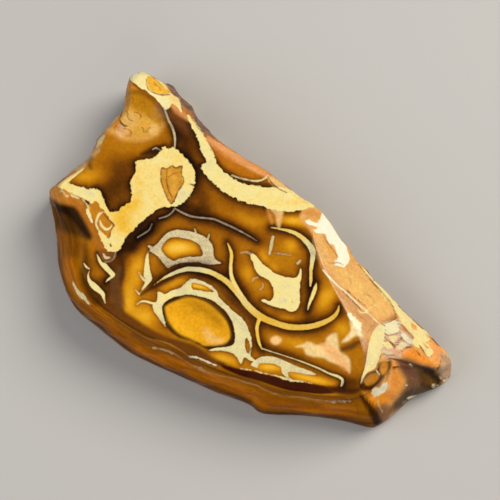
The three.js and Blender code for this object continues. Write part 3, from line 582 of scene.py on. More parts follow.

# washes of colour laid over the ground in this order, each with a soft edge of so many pixels; some are
# painted shade and highlights
washUsual = {"soft": 3, "strength": 0.85}
washes = {
    "outerFlank": {"colour": (188, 106, 4), "soft": 4, "strength": 0.88, "path": [
        (68, 236, 9), (69, 262, 13), (76, 286, 12), (92, 309, 11), (118, 333, 11), (140, 349, 11),
        (160, 358.5, 12), (182, 367, 12), (205, 377, 12), (225, 385, 12), (245, 392.5, 12), (265, 401, 12),
        (290, 405.5, 11), (320, 408.5, 11), (352, 411, 11)]},
    # painted shadow along the flank's foot, where it meets the floor
    "flankFootShade": {"colour": (62, 32, 4), "soft": 2.6, "strength": 0.75, "path": [
        (56, 222, 4), (58.5, 240, 4), (62, 272, 3), (75.5, 305, 4), (102.5, 328.5, 4), (130.5, 350.5, 4),
        (157.5, 364.5, 4), (186.5, 377.5, 4), (214.5, 390, 4), (249, 402.5, 4), (264, 412, 3.6),
        (300, 414, 3.6), (338, 418.5, 3.6), (366, 425, 4)]},
    "innerFlank": {"colour": (98, 53, 10), "soft": 2.6, "strength": 0.94, "outline": [
        (96, 292), (104, 296), (112, 302), (118, 303), (125, 311.5), (135, 318), (145, 325), (155, 331),
        (165, 336), (175, 339), (190, 343.5), (200, 348), (207, 353), (216, 359), (226, 364), (216, 366),
        (203, 361), (190, 358), (180, 351), (170, 345.5), (160, 342), (150, 340), (140, 336), (130, 329),
        (120, 323), (107, 312), (98, 303)]},
    "midFlank": {"colour": (132, 76, 20), "soft": 2, "path": [
        (132, 335, 3), (150, 343.5, 4), (165, 346.5, 4), (178, 353, 4), (190, 361, 4), (203, 365.5, 4),
        (215, 370, 4), (228, 374, 3)]},
    "leftShade": {"colour": (58, 29, 3), "soft": 5, "path": [
        (84, 246, 6), (86, 263, 9), (83, 277, 6), (90, 291, 8), (97, 301, 9)]},
    "leftPink": {"colour": (98, 60, 26), "soft": 3.4, "strength": 0.88, "path": [
        (121, 268, 6), (118, 277, 13), (114, 286, 13), (116, 295, 14), (119, 302, 11), (121, 309, 6)]},
    "sweepTail": {"colour": (66, 34, 6), "soft": 1.6, "strength": 0.9, "path": [
        (141, 295, 1.5), (147, 290.5, 3), (155, 285.5, 4.2), (163, 281.5, 4), (172, 278, 2.6)]},
    "leftEdge": {"colour": (56, 27, 4), "soft": 2.6, "strength": 0.7, "path": [
        (121.5, 261, 2), (123, 269, 4), (122, 277, 4.4), (121, 284, 3), (121.5, 291, 1)]},
    "flankShade": {"colour": (72, 37, 6), "soft": 4, "strength": 0.55, "path": [
        (82, 303, 4), (97, 318, 6), (111, 331, 6), (125, 340, 6), (134, 346, 3)]},
    "flankShadeMiddle": {"colour": (76, 38, 5), "soft": 4, "strength": 0.5, "path": [
        (168, 366, 3), (180, 371, 5), (195, 379, 5), (212, 386, 5), (226, 392, 3)]},
    "flankDip": {"colour": (28, 13, 3), "soft": 4.5, "strength": 0.8, "path": [
        (230, 393.5, 2), (240, 397.5, 5), (250, 401, 3)]},
    "domeDark": {"colour": (50, 24, 4), "soft": 1.1, "strength": 0.96, "outline": [
        (160.5, 306), (163, 302), (170, 298.5), (180, 295), (190, 293.5), (201, 296.5), (213, 300.5),
        (223, 308.5), (231.5, 318), (236, 329), (236.5, 338), (234, 345.5), (225, 349), (212, 350),
        (205, 348.5), (199, 345), (190, 341), (180, 338), (172, 333), (166, 326), (162, 316)]},
    "domeGold": {"colour": (234, 164, 24), "soft": 1.5, "strength": 0.98, "outline": [
        (165, 308), (167.5, 305), (173, 302), (181.5, 299), (190, 297.5), (200, 300), (209, 304.5),
        (218, 312), (226, 321), (229.5, 330), (230, 337), (227, 342), (220, 344.5), (211, 345.5),
        (204, 345.5), (199, 342.5), (190, 338), (181, 334.5), (175, 329.5), (170, 323), (166.5, 315)]},
    "domeOlive": {"colour": (184, 124, 10), "soft": 7, "path": [
        (186, 302, 7), (200, 307, 10), (211, 314, 11), (220, 324, 8)]},
    "domeBright": {"colour": (250, 184, 34), "soft": 6, "strength": 0.7, "path": [
        (172, 318, 6), (182, 328, 8), (195, 336, 7)]},
    # painted highlight on the lower part of the dome
    "domeHighlight": {"colour": (244, 194, 112), "soft": 4.5, "strength": 0.75, "path": [
        (206, 331, 5), (212, 339, 8), (222, 341, 4)]},
    "ringShade": {"colour": (92, 50, 10), "strength": 0.8, "path": [
        (222, 291, 4), (232, 301, 6), (242, 309.5, 6), (251, 318, 5), (256, 330, 4)]},
    "troughHead": {"colour": (72, 30, 6), "soft": 2.6, "path": [
        (219, 363, 2), (226, 367, 4.5), (236, 371.5, 6), (246, 375, 6)]},
    "trough": {"colour": (52, 9, 2), "soft": 1.0, "strength": 0.97, "outline": [
        (221, 364.5), (230, 366.5), (240, 369), (255, 371.5), (265, 374), (280, 377), (290, 380),
        (300, 381.5), (315, 384), (325, 386.5), (331, 391), (334, 393), (320, 394), (305, 392.5),
        (290, 390.5), (275, 386.5), (260, 381.5), (245, 377), (232, 372), (223, 368)]},
    "troughEnd": {"colour": (62, 26, 3), "soft": 2.4, "strength": 0.9, "path": [
        (322, 389, 6), (331, 389.5, 6), (341, 391, 6), (350, 391.5, 6), (358, 390, 5)]},
    "wornBand": {"colour": (128, 72, 20), "soft": 2, "strength": 0.8, "path": [
        (226, 375, 3), (245, 379.5, 3.5), (262, 385.5, 4), (280, 392, 4), (300, 394.5, 3.5),
        (320, 397, 3.5), (345, 398, 3)]},
    "flankLeft": {"colour": (140, 80, 6), "soft": 5, "outline": [
        (56, 222), (70, 226), (80, 236), (84, 246), (84, 254), (76, 258), (62, 256), (57, 245)]},
    "cornerLump": {"colour": (212, 136, 44), "soft": 2.5, "strength": 0.92, "outline": [
        (50, 190), (58, 184), (66, 189), (76, 195), (84, 203), (80, 208), (70, 206), (60, 204), (53, 198)]},
    "cornerRidge": {"colour": (180, 108, 32), "soft": 4, "path": [
        (70, 200, 9), (79, 207, 11), (87, 218, 12), (94, 230, 11), (100, 243, 10), (105, 250, 6)]},
    # painted shade in the hollow at the left corner: soft brown round a near-black middle
    "hollowShadeBrown": {"colour": (84, 50, 12), "soft": 4, "strength": 0.9, "outline": [
        (50, 200), (60, 206), (72, 208), (80, 218), (88, 232), (86, 240), (76, 236), (66, 232), (57, 228),
        (53, 214)]},
    "cornerHollowShade": {"colour": (36, 18, 4), "strength": 0.95, "outline": [
        (51, 199), (58, 203), (66, 205), (75, 207), (81, 215), (87, 226), (92, 236), (89, 240), (81, 232),
        (73, 222), (66, 215), (57, 211)]},
    "cup": {"colour": (128, 76, 30), "soft": 1.6, "outline": [
        (100, 250), (107, 251), (116, 253), (114, 259), (108, 263), (101, 259)]},
    "cupShade": {"colour": (56, 30, 8), "soft": 1.4, "strength": 0.7, "path": [
        (97, 252, 3), (101, 260, 2), (106, 263, 2), (113, 260, 2)]},
    "armInside": {"colour": (204, 130, 30), "soft": 1.6, "strength": 0.9, "outline": [
        (92, 203), (95, 200.5), (98, 203), (107, 215), (114, 225), (111, 234), (109, 238.5), (101, 232),
        (96, 222), (90, 214), (88, 206)]},
    "eyeInside": {"colour": (206, 144, 44), "soft": 1.0, "strength": 0.97, "outline": [
        (161.5, 168.5), (166.5, 169), (172, 166), (176, 168), (182, 166), (181.5, 173.5), (184, 182),
        (178.5, 190.5), (172.5, 203), (168.5, 200.5), (163.5, 189), (161, 179.5)]},
    "eyeLight": {"colour": (230, 168, 62), "strength": 0.8, "path": [
        (169, 174, 4), (174, 180, 7), (174, 190, 6), (170, 197, 3)]},
    "scoopOlive": {"colour": (182, 128, 18), "soft": 7, "strength": 0.6, "outline": [
        (127, 90), (135, 93), (150, 104), (161, 118), (161, 128), (148, 127), (137, 113), (128, 105)]},
    "scoopFloor": {"colour": (230, 174, 70), "soft": 4, "strength": 0.75, "outline": [
        (128, 107), (138, 112), (147, 116), (156, 122), (158, 130), (150, 136), (138, 137), (128, 134),
        (121, 126), (122, 116)]},
    # painted reflection of a lamp in the scoop
    "scoopLampReflection": {"colour": (216, 168, 88), "soft": 2.6, "strength": 0.8, "outline": [
        (123, 112), (130, 112), (137, 119), (135, 127), (127, 127), (121, 119)]},
    "scoopCrumb": {"colour": (236, 190, 112), "soft": 2.5, "strength": 0.7, "outline": [
        (149, 127), (155, 124), (159, 128), (156, 134), (150, 134)]},
    # painted highlight along the scoop's rounded lower edge
    "scoopRimHighlight": {"colour": (240, 182, 92), "soft": 4, "strength": 0.6, "path": [
        (106, 129, 3), (114, 132, 5), (124, 137, 6), (136, 139, 5), (147, 138, 4), (157, 133, 4),
        (163, 124, 3)]},
    "tipOrange": {"colour": (214, 140, 50), "soft": 2, "strength": 0.8, "path": [
        (128, 84, 3), (132, 87, 3), (136, 89, 1.5)]},
    "tipGold": {"colour": (242, 182, 50), "soft": 1.0, "strength": 0.96, "outline": [
        (145, 75), (155, 75), (163, 81), (168, 88), (171, 95), (163, 95.5), (155, 93.5), (149, 91),
        (146.5, 85)]},
    "nickDark": {"colour": (44, 22, 4), "strength": 0.92, "path": [
        (142, 154, 3), (148, 152.5, 7), (154, 151, 9), (160, 148.5, 7)]},
    "tipShade": {"colour": (120, 74, 10), "strength": 0.7, "path": [
        (130, 93, 2), (138, 92, 3), (147, 96, 3), (155, 103, 3), (162, 112, 3), (167, 124, 3)]},
    "notchEdge": {"colour": (222, 168, 100), "soft": 1.6, "strength": 0.7, "path": [
        (124, 88, 1.5), (123.5, 98, 1.8), (124.5, 108, 1.8)]},
    "notchBeige": {"colour": (214, 172, 112), "soft": 2.0, "strength": 0.75, "path": [
        (98, 150, 4), (92, 156, 4), (85, 165, 4), (78, 171, 4)]},
    "notchDark": {"colour": (66, 38, 10), "strength": 0.75, "path": [
        (92, 158, 3), (89, 163, 4), (91, 168, 3)]},
    "stripOrange": {"colour": (226, 150, 84), "soft": 2.4, "strength": 0.92, "path": [
        (172, 104, 3), (176, 109.5, 6), (182, 114.5, 6), (188, 119, 4)]},
    "stripBrown": {"colour": (120, 68, 30), "soft": 6, "strength": 0.75, "path": [
        (173, 116, 6), (181, 123, 9), (187, 131, 6)]},
    "rimOrange": {"colour": (240, 162, 96), "soft": 2.6, "path": [
        (208, 139, 4), (215, 143.5, 6), (228, 152, 6), (242, 161, 6), (256, 170, 5), (267, 176, 4)]},
    "rimAmber": {"colour": (194, 112, 22), "strength": 0.75, "outline": [
        (212, 149), (222, 153), (238, 164), (252, 173), (258, 177), (248, 177), (236, 172), (226, 166),
        (218, 158)]},
    "rimChips": {"colour": (240, 198, 122), "soft": 2, "path": [
        (271, 179, 6), (279, 185, 7), (289, 191, 5)]},
    "drip": {"colour": (248, 196, 122), "soft": 2.0, "strength": 0.78, "outline": [
        (271, 209.5), (283, 209.5), (282.5, 216), (281, 223), (279, 229), (276.5, 223), (275.5, 216)]},
    "dripLeft": {"colour": (226, 150, 66), "soft": 2.4, "strength": 0.7, "path": [
        (268, 210, 3), (270, 216, 4), (272, 222, 3)]},
    "bevelGround": {"colour": (230, 170, 96), "soft": 2.4, "strength": 0.92, "outline": [
        (306, 205), (318, 205), (334, 222), (349, 243), (364, 262), (380, 280), (401, 300), (401, 322),
        (383, 325), (368, 334), (363, 345), (358, 331), (348, 313), (342, 302), (336, 290), (328.5, 277),
        (322, 265), (318, 251), (314, 237), (307, 227), (300, 219), (302, 211)]},
    "bevelRust": {"colour": (214, 140, 58), "strength": 0.75, "path": [
        (306, 212, 5), (312, 213, 8), (318, 215, 5)]},
    "bevelYellow": {"colour": (236, 188, 104), "soft": 8, "strength": 0.75, "path": [
        (342, 272, 12), (358, 287, 18), (372, 300, 16), (384, 311, 10)]},
    "bevelTop": {"colour": (234, 180, 104), "soft": 5, "strength": 0.7, "path": [
        (318, 240, 8), (325, 256, 12), (334, 266, 8)]},
    "bevelPink": {"colour": (208, 152, 92), "soft": 2.6, "outline": [
        (322, 262), (328, 270), (338, 283), (350, 296), (362, 307), (374, 318), (382, 325), (374, 331),
        (366, 336), (362, 340), (357, 327), (351, 315), (345, 305), (340, 296), (334, 285), (327, 275),
        (321, 266)]},
    "bevelBrown": {"colour": (222, 160, 74), "soft": 1.6, "path": [
        (325, 236, 2), (326, 243, 3), (329, 249, 4), (332, 254, 4.6), (334, 259, 3)]},
    "bevelEdgeDark": {"colour": (150, 92, 48), "soft": 2.0, "strength": 0.8, "path": [
        (384, 322, 2), (391, 319, 4), (396, 316, 3)]},
    "stripMark": {"colour": (172, 94, 40), "soft": 1.6, "strength": 0.9, "path": [
        (400.5, 322, 1.6), (404, 328, 3.4), (408, 333, 3.6), (412, 338, 4), (415, 343, 3)]},
    "stripPocket": {"colour": (104, 52, 18), "soft": 1.2, "strength": 0.9, "path": [
        (409, 334.5, 1.4), (412.5, 339, 2.6), (415, 343.5, 2)]},
    "chipGround": {"colour": (214, 176, 146), "soft": 1.4, "strength": 0.96, "outline": [
        (383, 323), (399, 320), (402, 330), (411, 335), (414, 343), (411, 347), (405, 350), (401, 357),
        (394, 359), (386, 357), (381, 352), (381, 345), (384, 338), (384, 330)]},
    "chipWarm": {"colour": (226, 160, 106), "strength": 0.8, "path": [
        (395, 352, 6), (402, 346, 6), (392, 344, 3)]},
    "endOrange": {"colour": (236, 142, 42), "soft": 2.6, "strength": 0.96, "outline": [
        (402, 353), (410, 348), (416, 348), (424, 355), (432, 361), (439, 367), (430, 367), (420, 364.5),
        (410, 361), (404, 359)]},
    "endRidge": {"colour": (240, 158, 84), "soft": 2.6, "strength": 0.9, "outline": [
        (430, 338), (440, 345), (446, 353), (448, 366), (441, 371), (436, 366), (432, 357), (431, 347)]},
    "knob": {"colour": (188, 154, 122), "soft": 1.4, "strength": 0.95, "outline": [
        (441, 352), (447, 355), (453, 365), (452, 378), (446, 384), (441, 378), (437, 370), (441, 364)]},
    "endFace": {"colour": (238, 152, 62), "soft": 3.6, "strength": 0.95, "outline": [
        (388, 361), (396, 361), (402, 371), (405, 382), (400, 393), (392, 403), (384, 409), (377, 401),
        (372, 390), (382, 384), (390, 374)]},
    "endMaroon": {"colour": (104, 70, 46), "soft": 3.6, "strength": 0.94, "outline": [
        (398, 359), (408, 358), (420, 363), (433, 367), (440, 374), (443, 381), (437, 390), (426, 396),
        (410, 404), (394, 413), (388, 412), (397, 401), (403, 391), (405.5, 382), (402, 374), (399, 367)]},
    "endRed": {"colour": (120, 66, 52), "strength": 0.7, "path": [
        (398, 362, 4), (404, 366, 7), (410, 371, 7), (413, 378, 4)]},
    "endOlive": {"colour": (92, 58, 14), "outline": [
        (418, 369), (428, 369), (438, 374), (441, 382), (434, 389), (426, 390), (421, 382)]},
    # painted shadow along the top of the end wall
    "endTopShadow": {"colour": (42, 22, 12), "soft": 1.8, "path": [
        (394, 359.5, 1.4), (403, 361.5, 2), (413, 364.5, 2.6), (424, 368.5, 4), (433, 372, 5)]},
    # painted shade in the end wall's hollow, here and in the next wash
    "endHollowShade": {"colour": (26, 14, 5), "soft": 2.2, "path": [
        (424, 372, 2), (431, 375, 4), (437, 379, 6), (439, 383, 3)]},
    "endPocketShade": {"colour": (28, 14, 4), "soft": 1.6, "strength": 0.88, "path": [
        (420, 383.5, 1.4), (426, 387, 3.4), (432, 388.5, 4), (438, 385.5, 3)]},
    "endBronze": {"colour": (112, 76, 14), "soft": 1.3, "strength": 0.8, "path": [
        (422.5, 373.5, 2), (427, 377, 3.4), (431, 381.5, 2.6), (434, 383, 1.4)]},
    # painted grey reflection along the lower edge of the broken end
    "endGreyReflection": {"colour": (80, 64, 46), "soft": 2.5, "path": [
        (391, 409, 4), (398, 403, 8), (409, 396, 9), (421, 391, 8), (431, 389, 3)]},
    "endLower": {"colour": (232, 144, 36), "soft": 2.2, "strength": 0.92, "outline": [
        (362, 393), (371, 390), (382, 392), (391, 396), (387, 404), (380, 407), (371, 402), (365, 398)]},
    "glassGlow": {"colour": (248, 198, 132), "strength": 0.75, "path": [
        (376, 393.5, 4), (381, 388.5, 7), (388, 386, 6)]},
    "tipLow": {"colour": (124, 84, 54), "soft": 2.4, "outline": [
        (376, 407), (384, 404), (392, 407), (390, 416), (384, 425), (378, 420)]},
    "endShade": {"colour": (44, 18, 3), "soft": 2.0, "strength": 0.94, "outline": [
        (359.5, 395), (364, 396), (371, 403), (377, 411), (382, 421), (383, 425), (376, 427), (370, 416),
        (364, 405)]},
    "ovalGround": {"colour": (58, 28, 6), "soft": 1.8, "strength": 0.94, "outline": [
        (360, 386), (366, 374), (376, 369), (379, 362), (388, 358), (392, 362), (390, 371), (384, 381),
        (376, 389), (366, 391), (361, 390)]},
    "ovalLow": {"colour": (184, 116, 26), "soft": 1.4, "strength": 0.96, "outline": [
        (364, 381), (367, 376.5), (372, 373.5), (377, 373.5), (379, 377), (376, 382), (370, 385.5),
        (366, 385)]},
    "ovalHigh": {"colour": (200, 130, 36), "soft": 1.4, "strength": 0.96, "outline": [
        (381, 363), (385.5, 361), (388, 365), (387, 371), (383, 375), (380, 371)]},
    "ovalCap": {"colour": (228, 168, 106), "soft": 1.2, "strength": 0.9, "path": [
        (380, 361.5, 1.6), (384, 359.5, 3), (388, 360.5, 1.6)]},
    # pale cloudy opal, partly a painted reflection on the polished face, here and in the next wash
    "peachCloudAndReflection": {"colour": (244, 212, 144), "soft": 1.9, "strength": 0.92, "outline": [
        (295.5, 346.7), (303, 347.5), (306, 354), (313, 356.7), (323, 357.5), (330, 361.7), (340, 365),
        (346.7, 369), (349.7, 373), (350, 361.7), (346.7, 355.8), (340, 351.7), (338, 341.7), (336.7, 334),
        (331.7, 334), (326.7, 338), (325, 344), (316.7, 345), (308, 341.7), (303, 344.5)]},
    "pinkCloudAndReflection": {"colour": (242, 170, 106), "strength": 0.7, "path": [
        (324, 346, 7), (332, 352, 10), (341, 361, 9), (347, 368, 5)]},
    "cloudDot": {"colour": (246, 200, 132), "soft": 1.8, "strength": 0.9, "outline": [
        (270.5, 340), (272.5, 337), (277, 336), (281, 338.5), (281, 341.5), (277.5, 344.5), (273, 344)]},
    # pale cloudy opal, partly a painted reflection on the polished face
    "rightCloudAndReflection": {"colour": (250, 228, 168), "soft": 1.8, "outline": [
        (350, 321), (355, 325), (360, 331), (362, 336), (355, 336), (348, 341), (342, 342), (347, 336),
        (351, 330)]},
    "brushMark": {"colour": (92, 50, 10), "soft": 2.6, "strength": 0.9, "path": [
        (343, 349, 5), (350, 347, 6.5), (357, 343, 5), (362, 341, 2)]},
}

# thin seams, cracks, painted highlight lines and a painted shadow line over everything: how light each stroke
# is, and its path with its width
brownLines = {
    # painted highlight lines along the face's edge and the rim of the flank, in this stroke and the next
    "faceEdgeHighlight": [
        (0.52, [(107, 311.5, 0.5), (118, 320, 1.0), (128.5, 327, 0.9), (139, 333.5, 1.0),
            (148, 338.5, 1.4), (160, 341, 1.2), (170, 344.3, 1.2), (180, 350, 1.0), (190, 357, 1.2)])],
    "rimEdgeHighlight": [
        (0.66, [(149, 347.5, 0.8), (156, 348, 1.3), (165, 350, 1.4), (174, 353.5, 1.6), (180, 357.5, 0.9),
            (192, 365, 1.1), (200, 368.5, 1.7), (208, 372.5, 1.4), (222, 376, 1.3), (234, 378.5, 1.2),
            (246, 382.5, 1.7), (257, 385.5, 1.4), (265, 390, 1.4), (275, 394, 1.9), (286, 397, 1.3),
            (300, 397, 1.2), (312, 399, 1.2), (326, 401, 1.4), (340, 401.5, 1.4)])],
    "whiteRim": [
        (0.46, [(323, 234, 0.8), (326, 240, 1.1), (330, 246, 1.3), (334.5, 252, 1.1), (337, 257.5, 1.2),
            (334.5, 262, 1.0)])],
    "tailDot": [(0.34, [(291.8, 301.3, 1.2), (292.4, 302.2, 1.2)])],
    "eyeOutline": [
        (0.36, [(182, 166, 1.6), (181.5, 173.5, 1.2), (184, 182, 1.0), (178.5, 190.5, 1.2),
            (172.5, 203, 1.6), (168.5, 200.5, 1.6), (163.5, 189, 1.5), (161, 179.5, 1.4),
            (161.5, 168.5, 1.6), (166.5, 169, 1.4), (172, 166, 1.6), (176, 168, 1.6), (182, 166, 1.6)])],
    "eyeInner": [(0.34, [(167, 171, 1.0), (166.5, 180, 1.5), (168.5, 190, 1.5), (172, 197, 1.2)])],
    "eyeCross": [(0.42, [(168, 177, 0.8), (174, 173.5, 1.2), (181, 172, 0.8)])],
    "tipSeam": [
        (0.3, [(146.5, 79, 0.7), (146.5, 85, 1.0), (149.5, 90.5, 1.2), (155, 93, 1.3), (162, 95, 1.6),
            (169.5, 94.6, 1.2)])],
    "tipFleck": [(0.5, [(154, 82, 0.8), (155.5, 85, 1.3), (159, 87, 0.8), (160.5, 90.5, 1.2)])],
    "clubNick": [(0.1, [(190, 184, 1.2), (193, 185, 2.0)])],
    "clubDot": [(0.12, [(110.3, 243.8, 1.4), (111, 246, 2.0)])],
    "armRhomb": [
        (0.3, [(103, 213, 1.2), (108, 219, 1.4), (114, 225, 1.8), (111, 230, 1.2), (109, 238, 1.2)])],
    "bevelFlecks": [
        (0.66, [(327, 262, 0.8), (333, 263.5, 1.6), (338, 262.5, 1.2), (344, 265.5, 0.8)]),
        (0.62, [(347, 277, 0.8), (351, 281, 1.6), (350, 286, 1.2)]),
        (0.66, [(362, 291, 0.8), (367, 294, 1.4), (373, 299, 1.2), (375, 303, 0.8)]),
        (0.6, [(333, 287, 0.8), (338, 291, 1.8), (341, 296, 1.4), (346, 300, 0.8)]),
        (0.62, [(356, 312, 0.8), (361, 317, 1.8), (367, 321, 1.2), (370, 326, 0.8)])],
    "bevelSeams": [
        (0.32, [(358, 264, 1.0), (366, 274, 1.6), (376, 286, 1.8), (386, 297, 1.7), (392, 305, 1.8),
            (395.5, 314, 1.6), (398, 322, 1.6), (400, 330, 1.4), (402, 334, 1.0)]),
        (0.28, [(381, 324.5, 1.2), (387, 322.5, 1.2), (391, 321, 1.8), (395, 318.5, 2.2)])],
    "hairlineShades": [
        (0.24, [(345, 288.5, 0.6), (349, 292, 1.3), (353, 296, 1.0), (357, 299.5, 1.3), (362, 303.5, 1.0),
            (367, 307.5, 0.6)]),
        (0.3, [(342, 291, 0.6), (346, 294.5, 1.3), (350, 298.5, 1.0), (354, 302.5, 1.4), (358, 306.5, 1.2),
            (361, 310, 0.8)])],
    "scoopCrumbs": [
        (0.34, [(126, 111, 0.6), (128, 114, 1.3), (127.5, 117, 1.0), (130, 120, 1.2), (133, 121, 0.6)]),
        (0.34, [(122, 128, 0.6), (126, 129, 1.4), (130, 130.5, 1.0), (131.5, 133.5, 1.4), (130, 136, 0.6)]),
        (0.36, [(141, 127, 0.6), (144, 129, 1.2), (143.5, 132, 1.0), (147, 131, 1.2), (150, 127, 0.7)]),
        (0.36, [(134, 112, 0.6), (138, 113, 1.0), (141, 116, 1.3), (140, 119, 0.8)]),
        (0.48, [(147, 114, 0.6), (150, 117.5, 1.1), (153, 119, 0.7)]),
        (0.4, [(130, 96, 0.6), (133, 99, 1.2), (132.5, 103, 0.8)]),
        (0.45, [(140, 101, 0.5), (144, 103, 1.1), (146, 107, 0.7)])],
    "scoopCracks": [
        (0.18, [(122.5, 111, 1.0), (121, 115, 1.4), (119.3, 119, 1.0)]),
        (0.1, [(119.5, 120, 1.2), (121.5, 123.5, 2.2), (125, 126, 1.8), (128, 126, 0.8)])],
    "chipSeams": [
        (0.28, [(384, 334, 1.0), (390, 335.5, 1.4), (396, 333.5, 1.4), (400.5, 330.5, 1.2)]),
        (0.26, [(386, 339.5, 1.2), (390, 342, 1.8), (393, 345.5, 1.2), (394, 349, 0.8)]),
        (0.32, [(399.5, 338, 1.0), (397, 342.5, 1.4), (394.5, 347, 1.0)]),
        (0.22, [(398, 353.5, 1.0), (403, 350.5, 1.6), (407, 347.5, 2.0), (413.5, 346.5, 1.6)])],
    "stripSeam": [(0.34, [(419, 343.5, 0.8), (421.5, 348.5, 1.6), (425, 353, 1.6), (428, 357.5, 1.2)])],
    "knobSeam": [
        (0.2, [(441.5, 350, 1.0), (442, 358, 1.6), (440, 365, 1.8), (437, 371, 1.6), (441, 378, 1.8)])],
    "endFalls": [
        (0.12, [(421, 370, 0.8), (426, 374, 1.4), (431, 377, 1.2), (436, 380.5, 1.6)]),
        (0.12, [(427, 383, 0.8), (431, 386, 1.3), (435, 387.5, 1.0)])],
    "chipCracks": [
        (0.24, [(386, 336, 1.0), (388, 340.5, 1.4), (392, 343, 1.2), (395, 348, 1.4), (399, 343.5, 1.2),
            (401, 339, 1.0)]),
        (0.26, [(400, 334, 0.9), (404, 340, 1.3), (409, 344, 1.2), (413, 346, 1.0)]),
        (0.3, [(379, 358, 0.8), (383, 354, 1.2), (388, 356, 1.0), (393, 354.5, 1.2), (397, 357, 0.8)])],
    "ridgeSeam": [(0.4, [(424, 333, 0.8), (427.5, 336.5, 1.6), (430.5, 341, 1.4), (430, 345, 0.8)])],
    "fingerSeam": [(0.36, [(411.5, 345.5, 0.8), (415, 349.5, 1.4), (419, 354, 1.4), (423, 358.5, 0.9)])],
    # painted shadow line along the top of the end wall
    "endArrisShadow": [(0.15, [(389, 358, 1.2), (396, 359.5, 1.6), (403, 360.5, 1.2)])],
    "rimSeam": [(0.3, [(268, 177, 1.0), (272, 183, 1.6), (279, 189, 1.4), (287, 192.5, 1.2)])],
    "bladeSeam": [(0.24, [(384.5, 324, 0.8), (385.5, 331, 1.2), (384.5, 340, 1.2), (382.5, 349, 0.8)])],
}

shades = {   # 0 to 1 along each scale, colours as seen on the stone (red, green, blue out of 255)
    "amber": [(0.0, (22, 9, 1)), (0.15, (52, 24, 1)), (0.32, (102, 55, 2)), (0.5, (160, 95, 5)),
              (0.66, (200, 132, 12)), (0.82, (232, 166, 30)), (1.0, (250, 200, 76))],
    "rust": [(0.0, (30, 10, 2)), (0.2, (84, 40, 8)), (0.38, (136, 76, 16)), (0.54, (186, 116, 36)),
             (0.7, (224, 152, 68)), (0.84, (244, 192, 116)), (1.0, (250, 220, 164))],
    "line": [(0.0, (26, 12, 4)), (0.3, (120, 66, 22)), (0.6, (186, 122, 56)), (1.0, (240, 200, 140))],
    "pale": [(0.0, (150, 130, 104)), (0.15, (198, 178, 138)), (0.3, (226, 212, 156)), (0.45, (244, 226, 150)),
             (0.6, (245, 210, 114)), (0.8, (241, 190, 64)), (1.0, (230, 164, 34))],
    "skin": [(0.0, (58, 36, 26)), (0.45, (116, 82, 66)), (0.75, (156, 120, 98)), (1.0, (190, 158, 128))],
    "white": (249, 243, 214),
}

look = {
    "amberTone": 0.56, "haloDepth": 0.44, "haloCurve": 1.35, "rustHaloDepth": 0.25,
    "edgeTones": [0.62, 0.66, 0.80, 0.50],      # notched, upper, bevel and flank edge
    # the flank's tone, and how much darker it is painted towards its foot as shade
    "flankTone": 0.50, "flankFootShadeDrop": 0.24,
    "hiddenTone": 0.40, "hiddenMottle": 0.16,
    "reach": 26.0,                # a shape's halo ends this many pixels away
    "lineReach": 8.0,
    "grazing": 0.16,              # cosine to the eye from which a place is fully seen
    # fine lines along the flank: stretch, size, strength, seed
    "streaks": [(5.0, 0.55, 1.0, 21), (9.0, 0.2, 0.6, 22)],
    "ringHeight": 5.5,            # mm down the side that one ring share stands for
    # noise of the unseen sides: how much flatter its cells are, size, strength, seed
    "rock": [(1.6, 2.6, 1.0, 31), (1.0, 0.9, 0.5, 32)],
    "hiddenVein": {"flatter": 0.55, "size": 3.4, "seed": 33, "width": 0.62, "rockShare": 0.3, "steep": 5,
                   "flankLess": 3, "deepest": -4},
    "skinLeft": 206, "skinRight": 232,          # picture columns between which the grey skin of the rim fades
    "hiddenSkin": {"from": -0.1, "to": 0.35, "strength": 0.8, "flankLess": 0.7},
    "unseenEdge": 20.0,           # seams stay this many pixels away on unseen places
    "pathSteps": 4, "outlineSteps": 3,          # steps of a smoothed line from each point to the next
    "farthest": 99.0,             # pixels; no distance to a shape counts as more
}

# what a place far from every pale shape has
farValues = {"paleEdge": 60.0, "gold": 0.4, "white": 0.0, "strength": 1.0, "rag": 0.4}

# ring shares between which a change comes in: 0 is the crest, 1 the rim, 2 the foot
fades = {
    "streak": (0.0, 0.5), "spotsEnd": (0.3, 1.0), "flank": (0.2, 1.0), "flankFootShade": (1.5, 2.0),
    "rust": (0.0, 0.16), "rimSkin": (1.0, 1.15), "worn": (0.0, 0.2), "flankPolish": (0.6, 1.4),
    "flankMirror": (0.0, 0.16),
}

# how well each place is polished, and how strongly it mirrors
gloss = {
    "roughLoss": 0.7, "flankLoss": 0.2, "hiddenLoss": 0.8, "dullLoss": 0.5,
    "mirror": 0.26, "mirrorFlankLoss": 0.25, "mirrorRoughLoss": 0.14, "mirrorDullLoss": 0.7,
    "mirrorLeast": 0.008, "mirrorHidden": 0.08,
}


def smoothPath(points, closed, steps):
    # Catmull-Rom through the points, in so many steps from each to the next
    points = np.array(points, float)
    if closed:
        a, b, c, d = (np.roll(points, shift, 0) for shift in (1, 0, -1, -2))
    else:
        b, c = points[:-1], points[1:]
        a = np.concatenate([b[:1], b[:-1]])
        d = np.concatenate([c[1:], c[-1:]])
    f = (np.arange(steps) / steps)[None, :, None]
    path = catmullRom(*(value[:, None] for value in (a, b, c, d)), f).reshape(-1, points.shape[1])
    return path if closed else np.concatenate([path, points[-1:]])


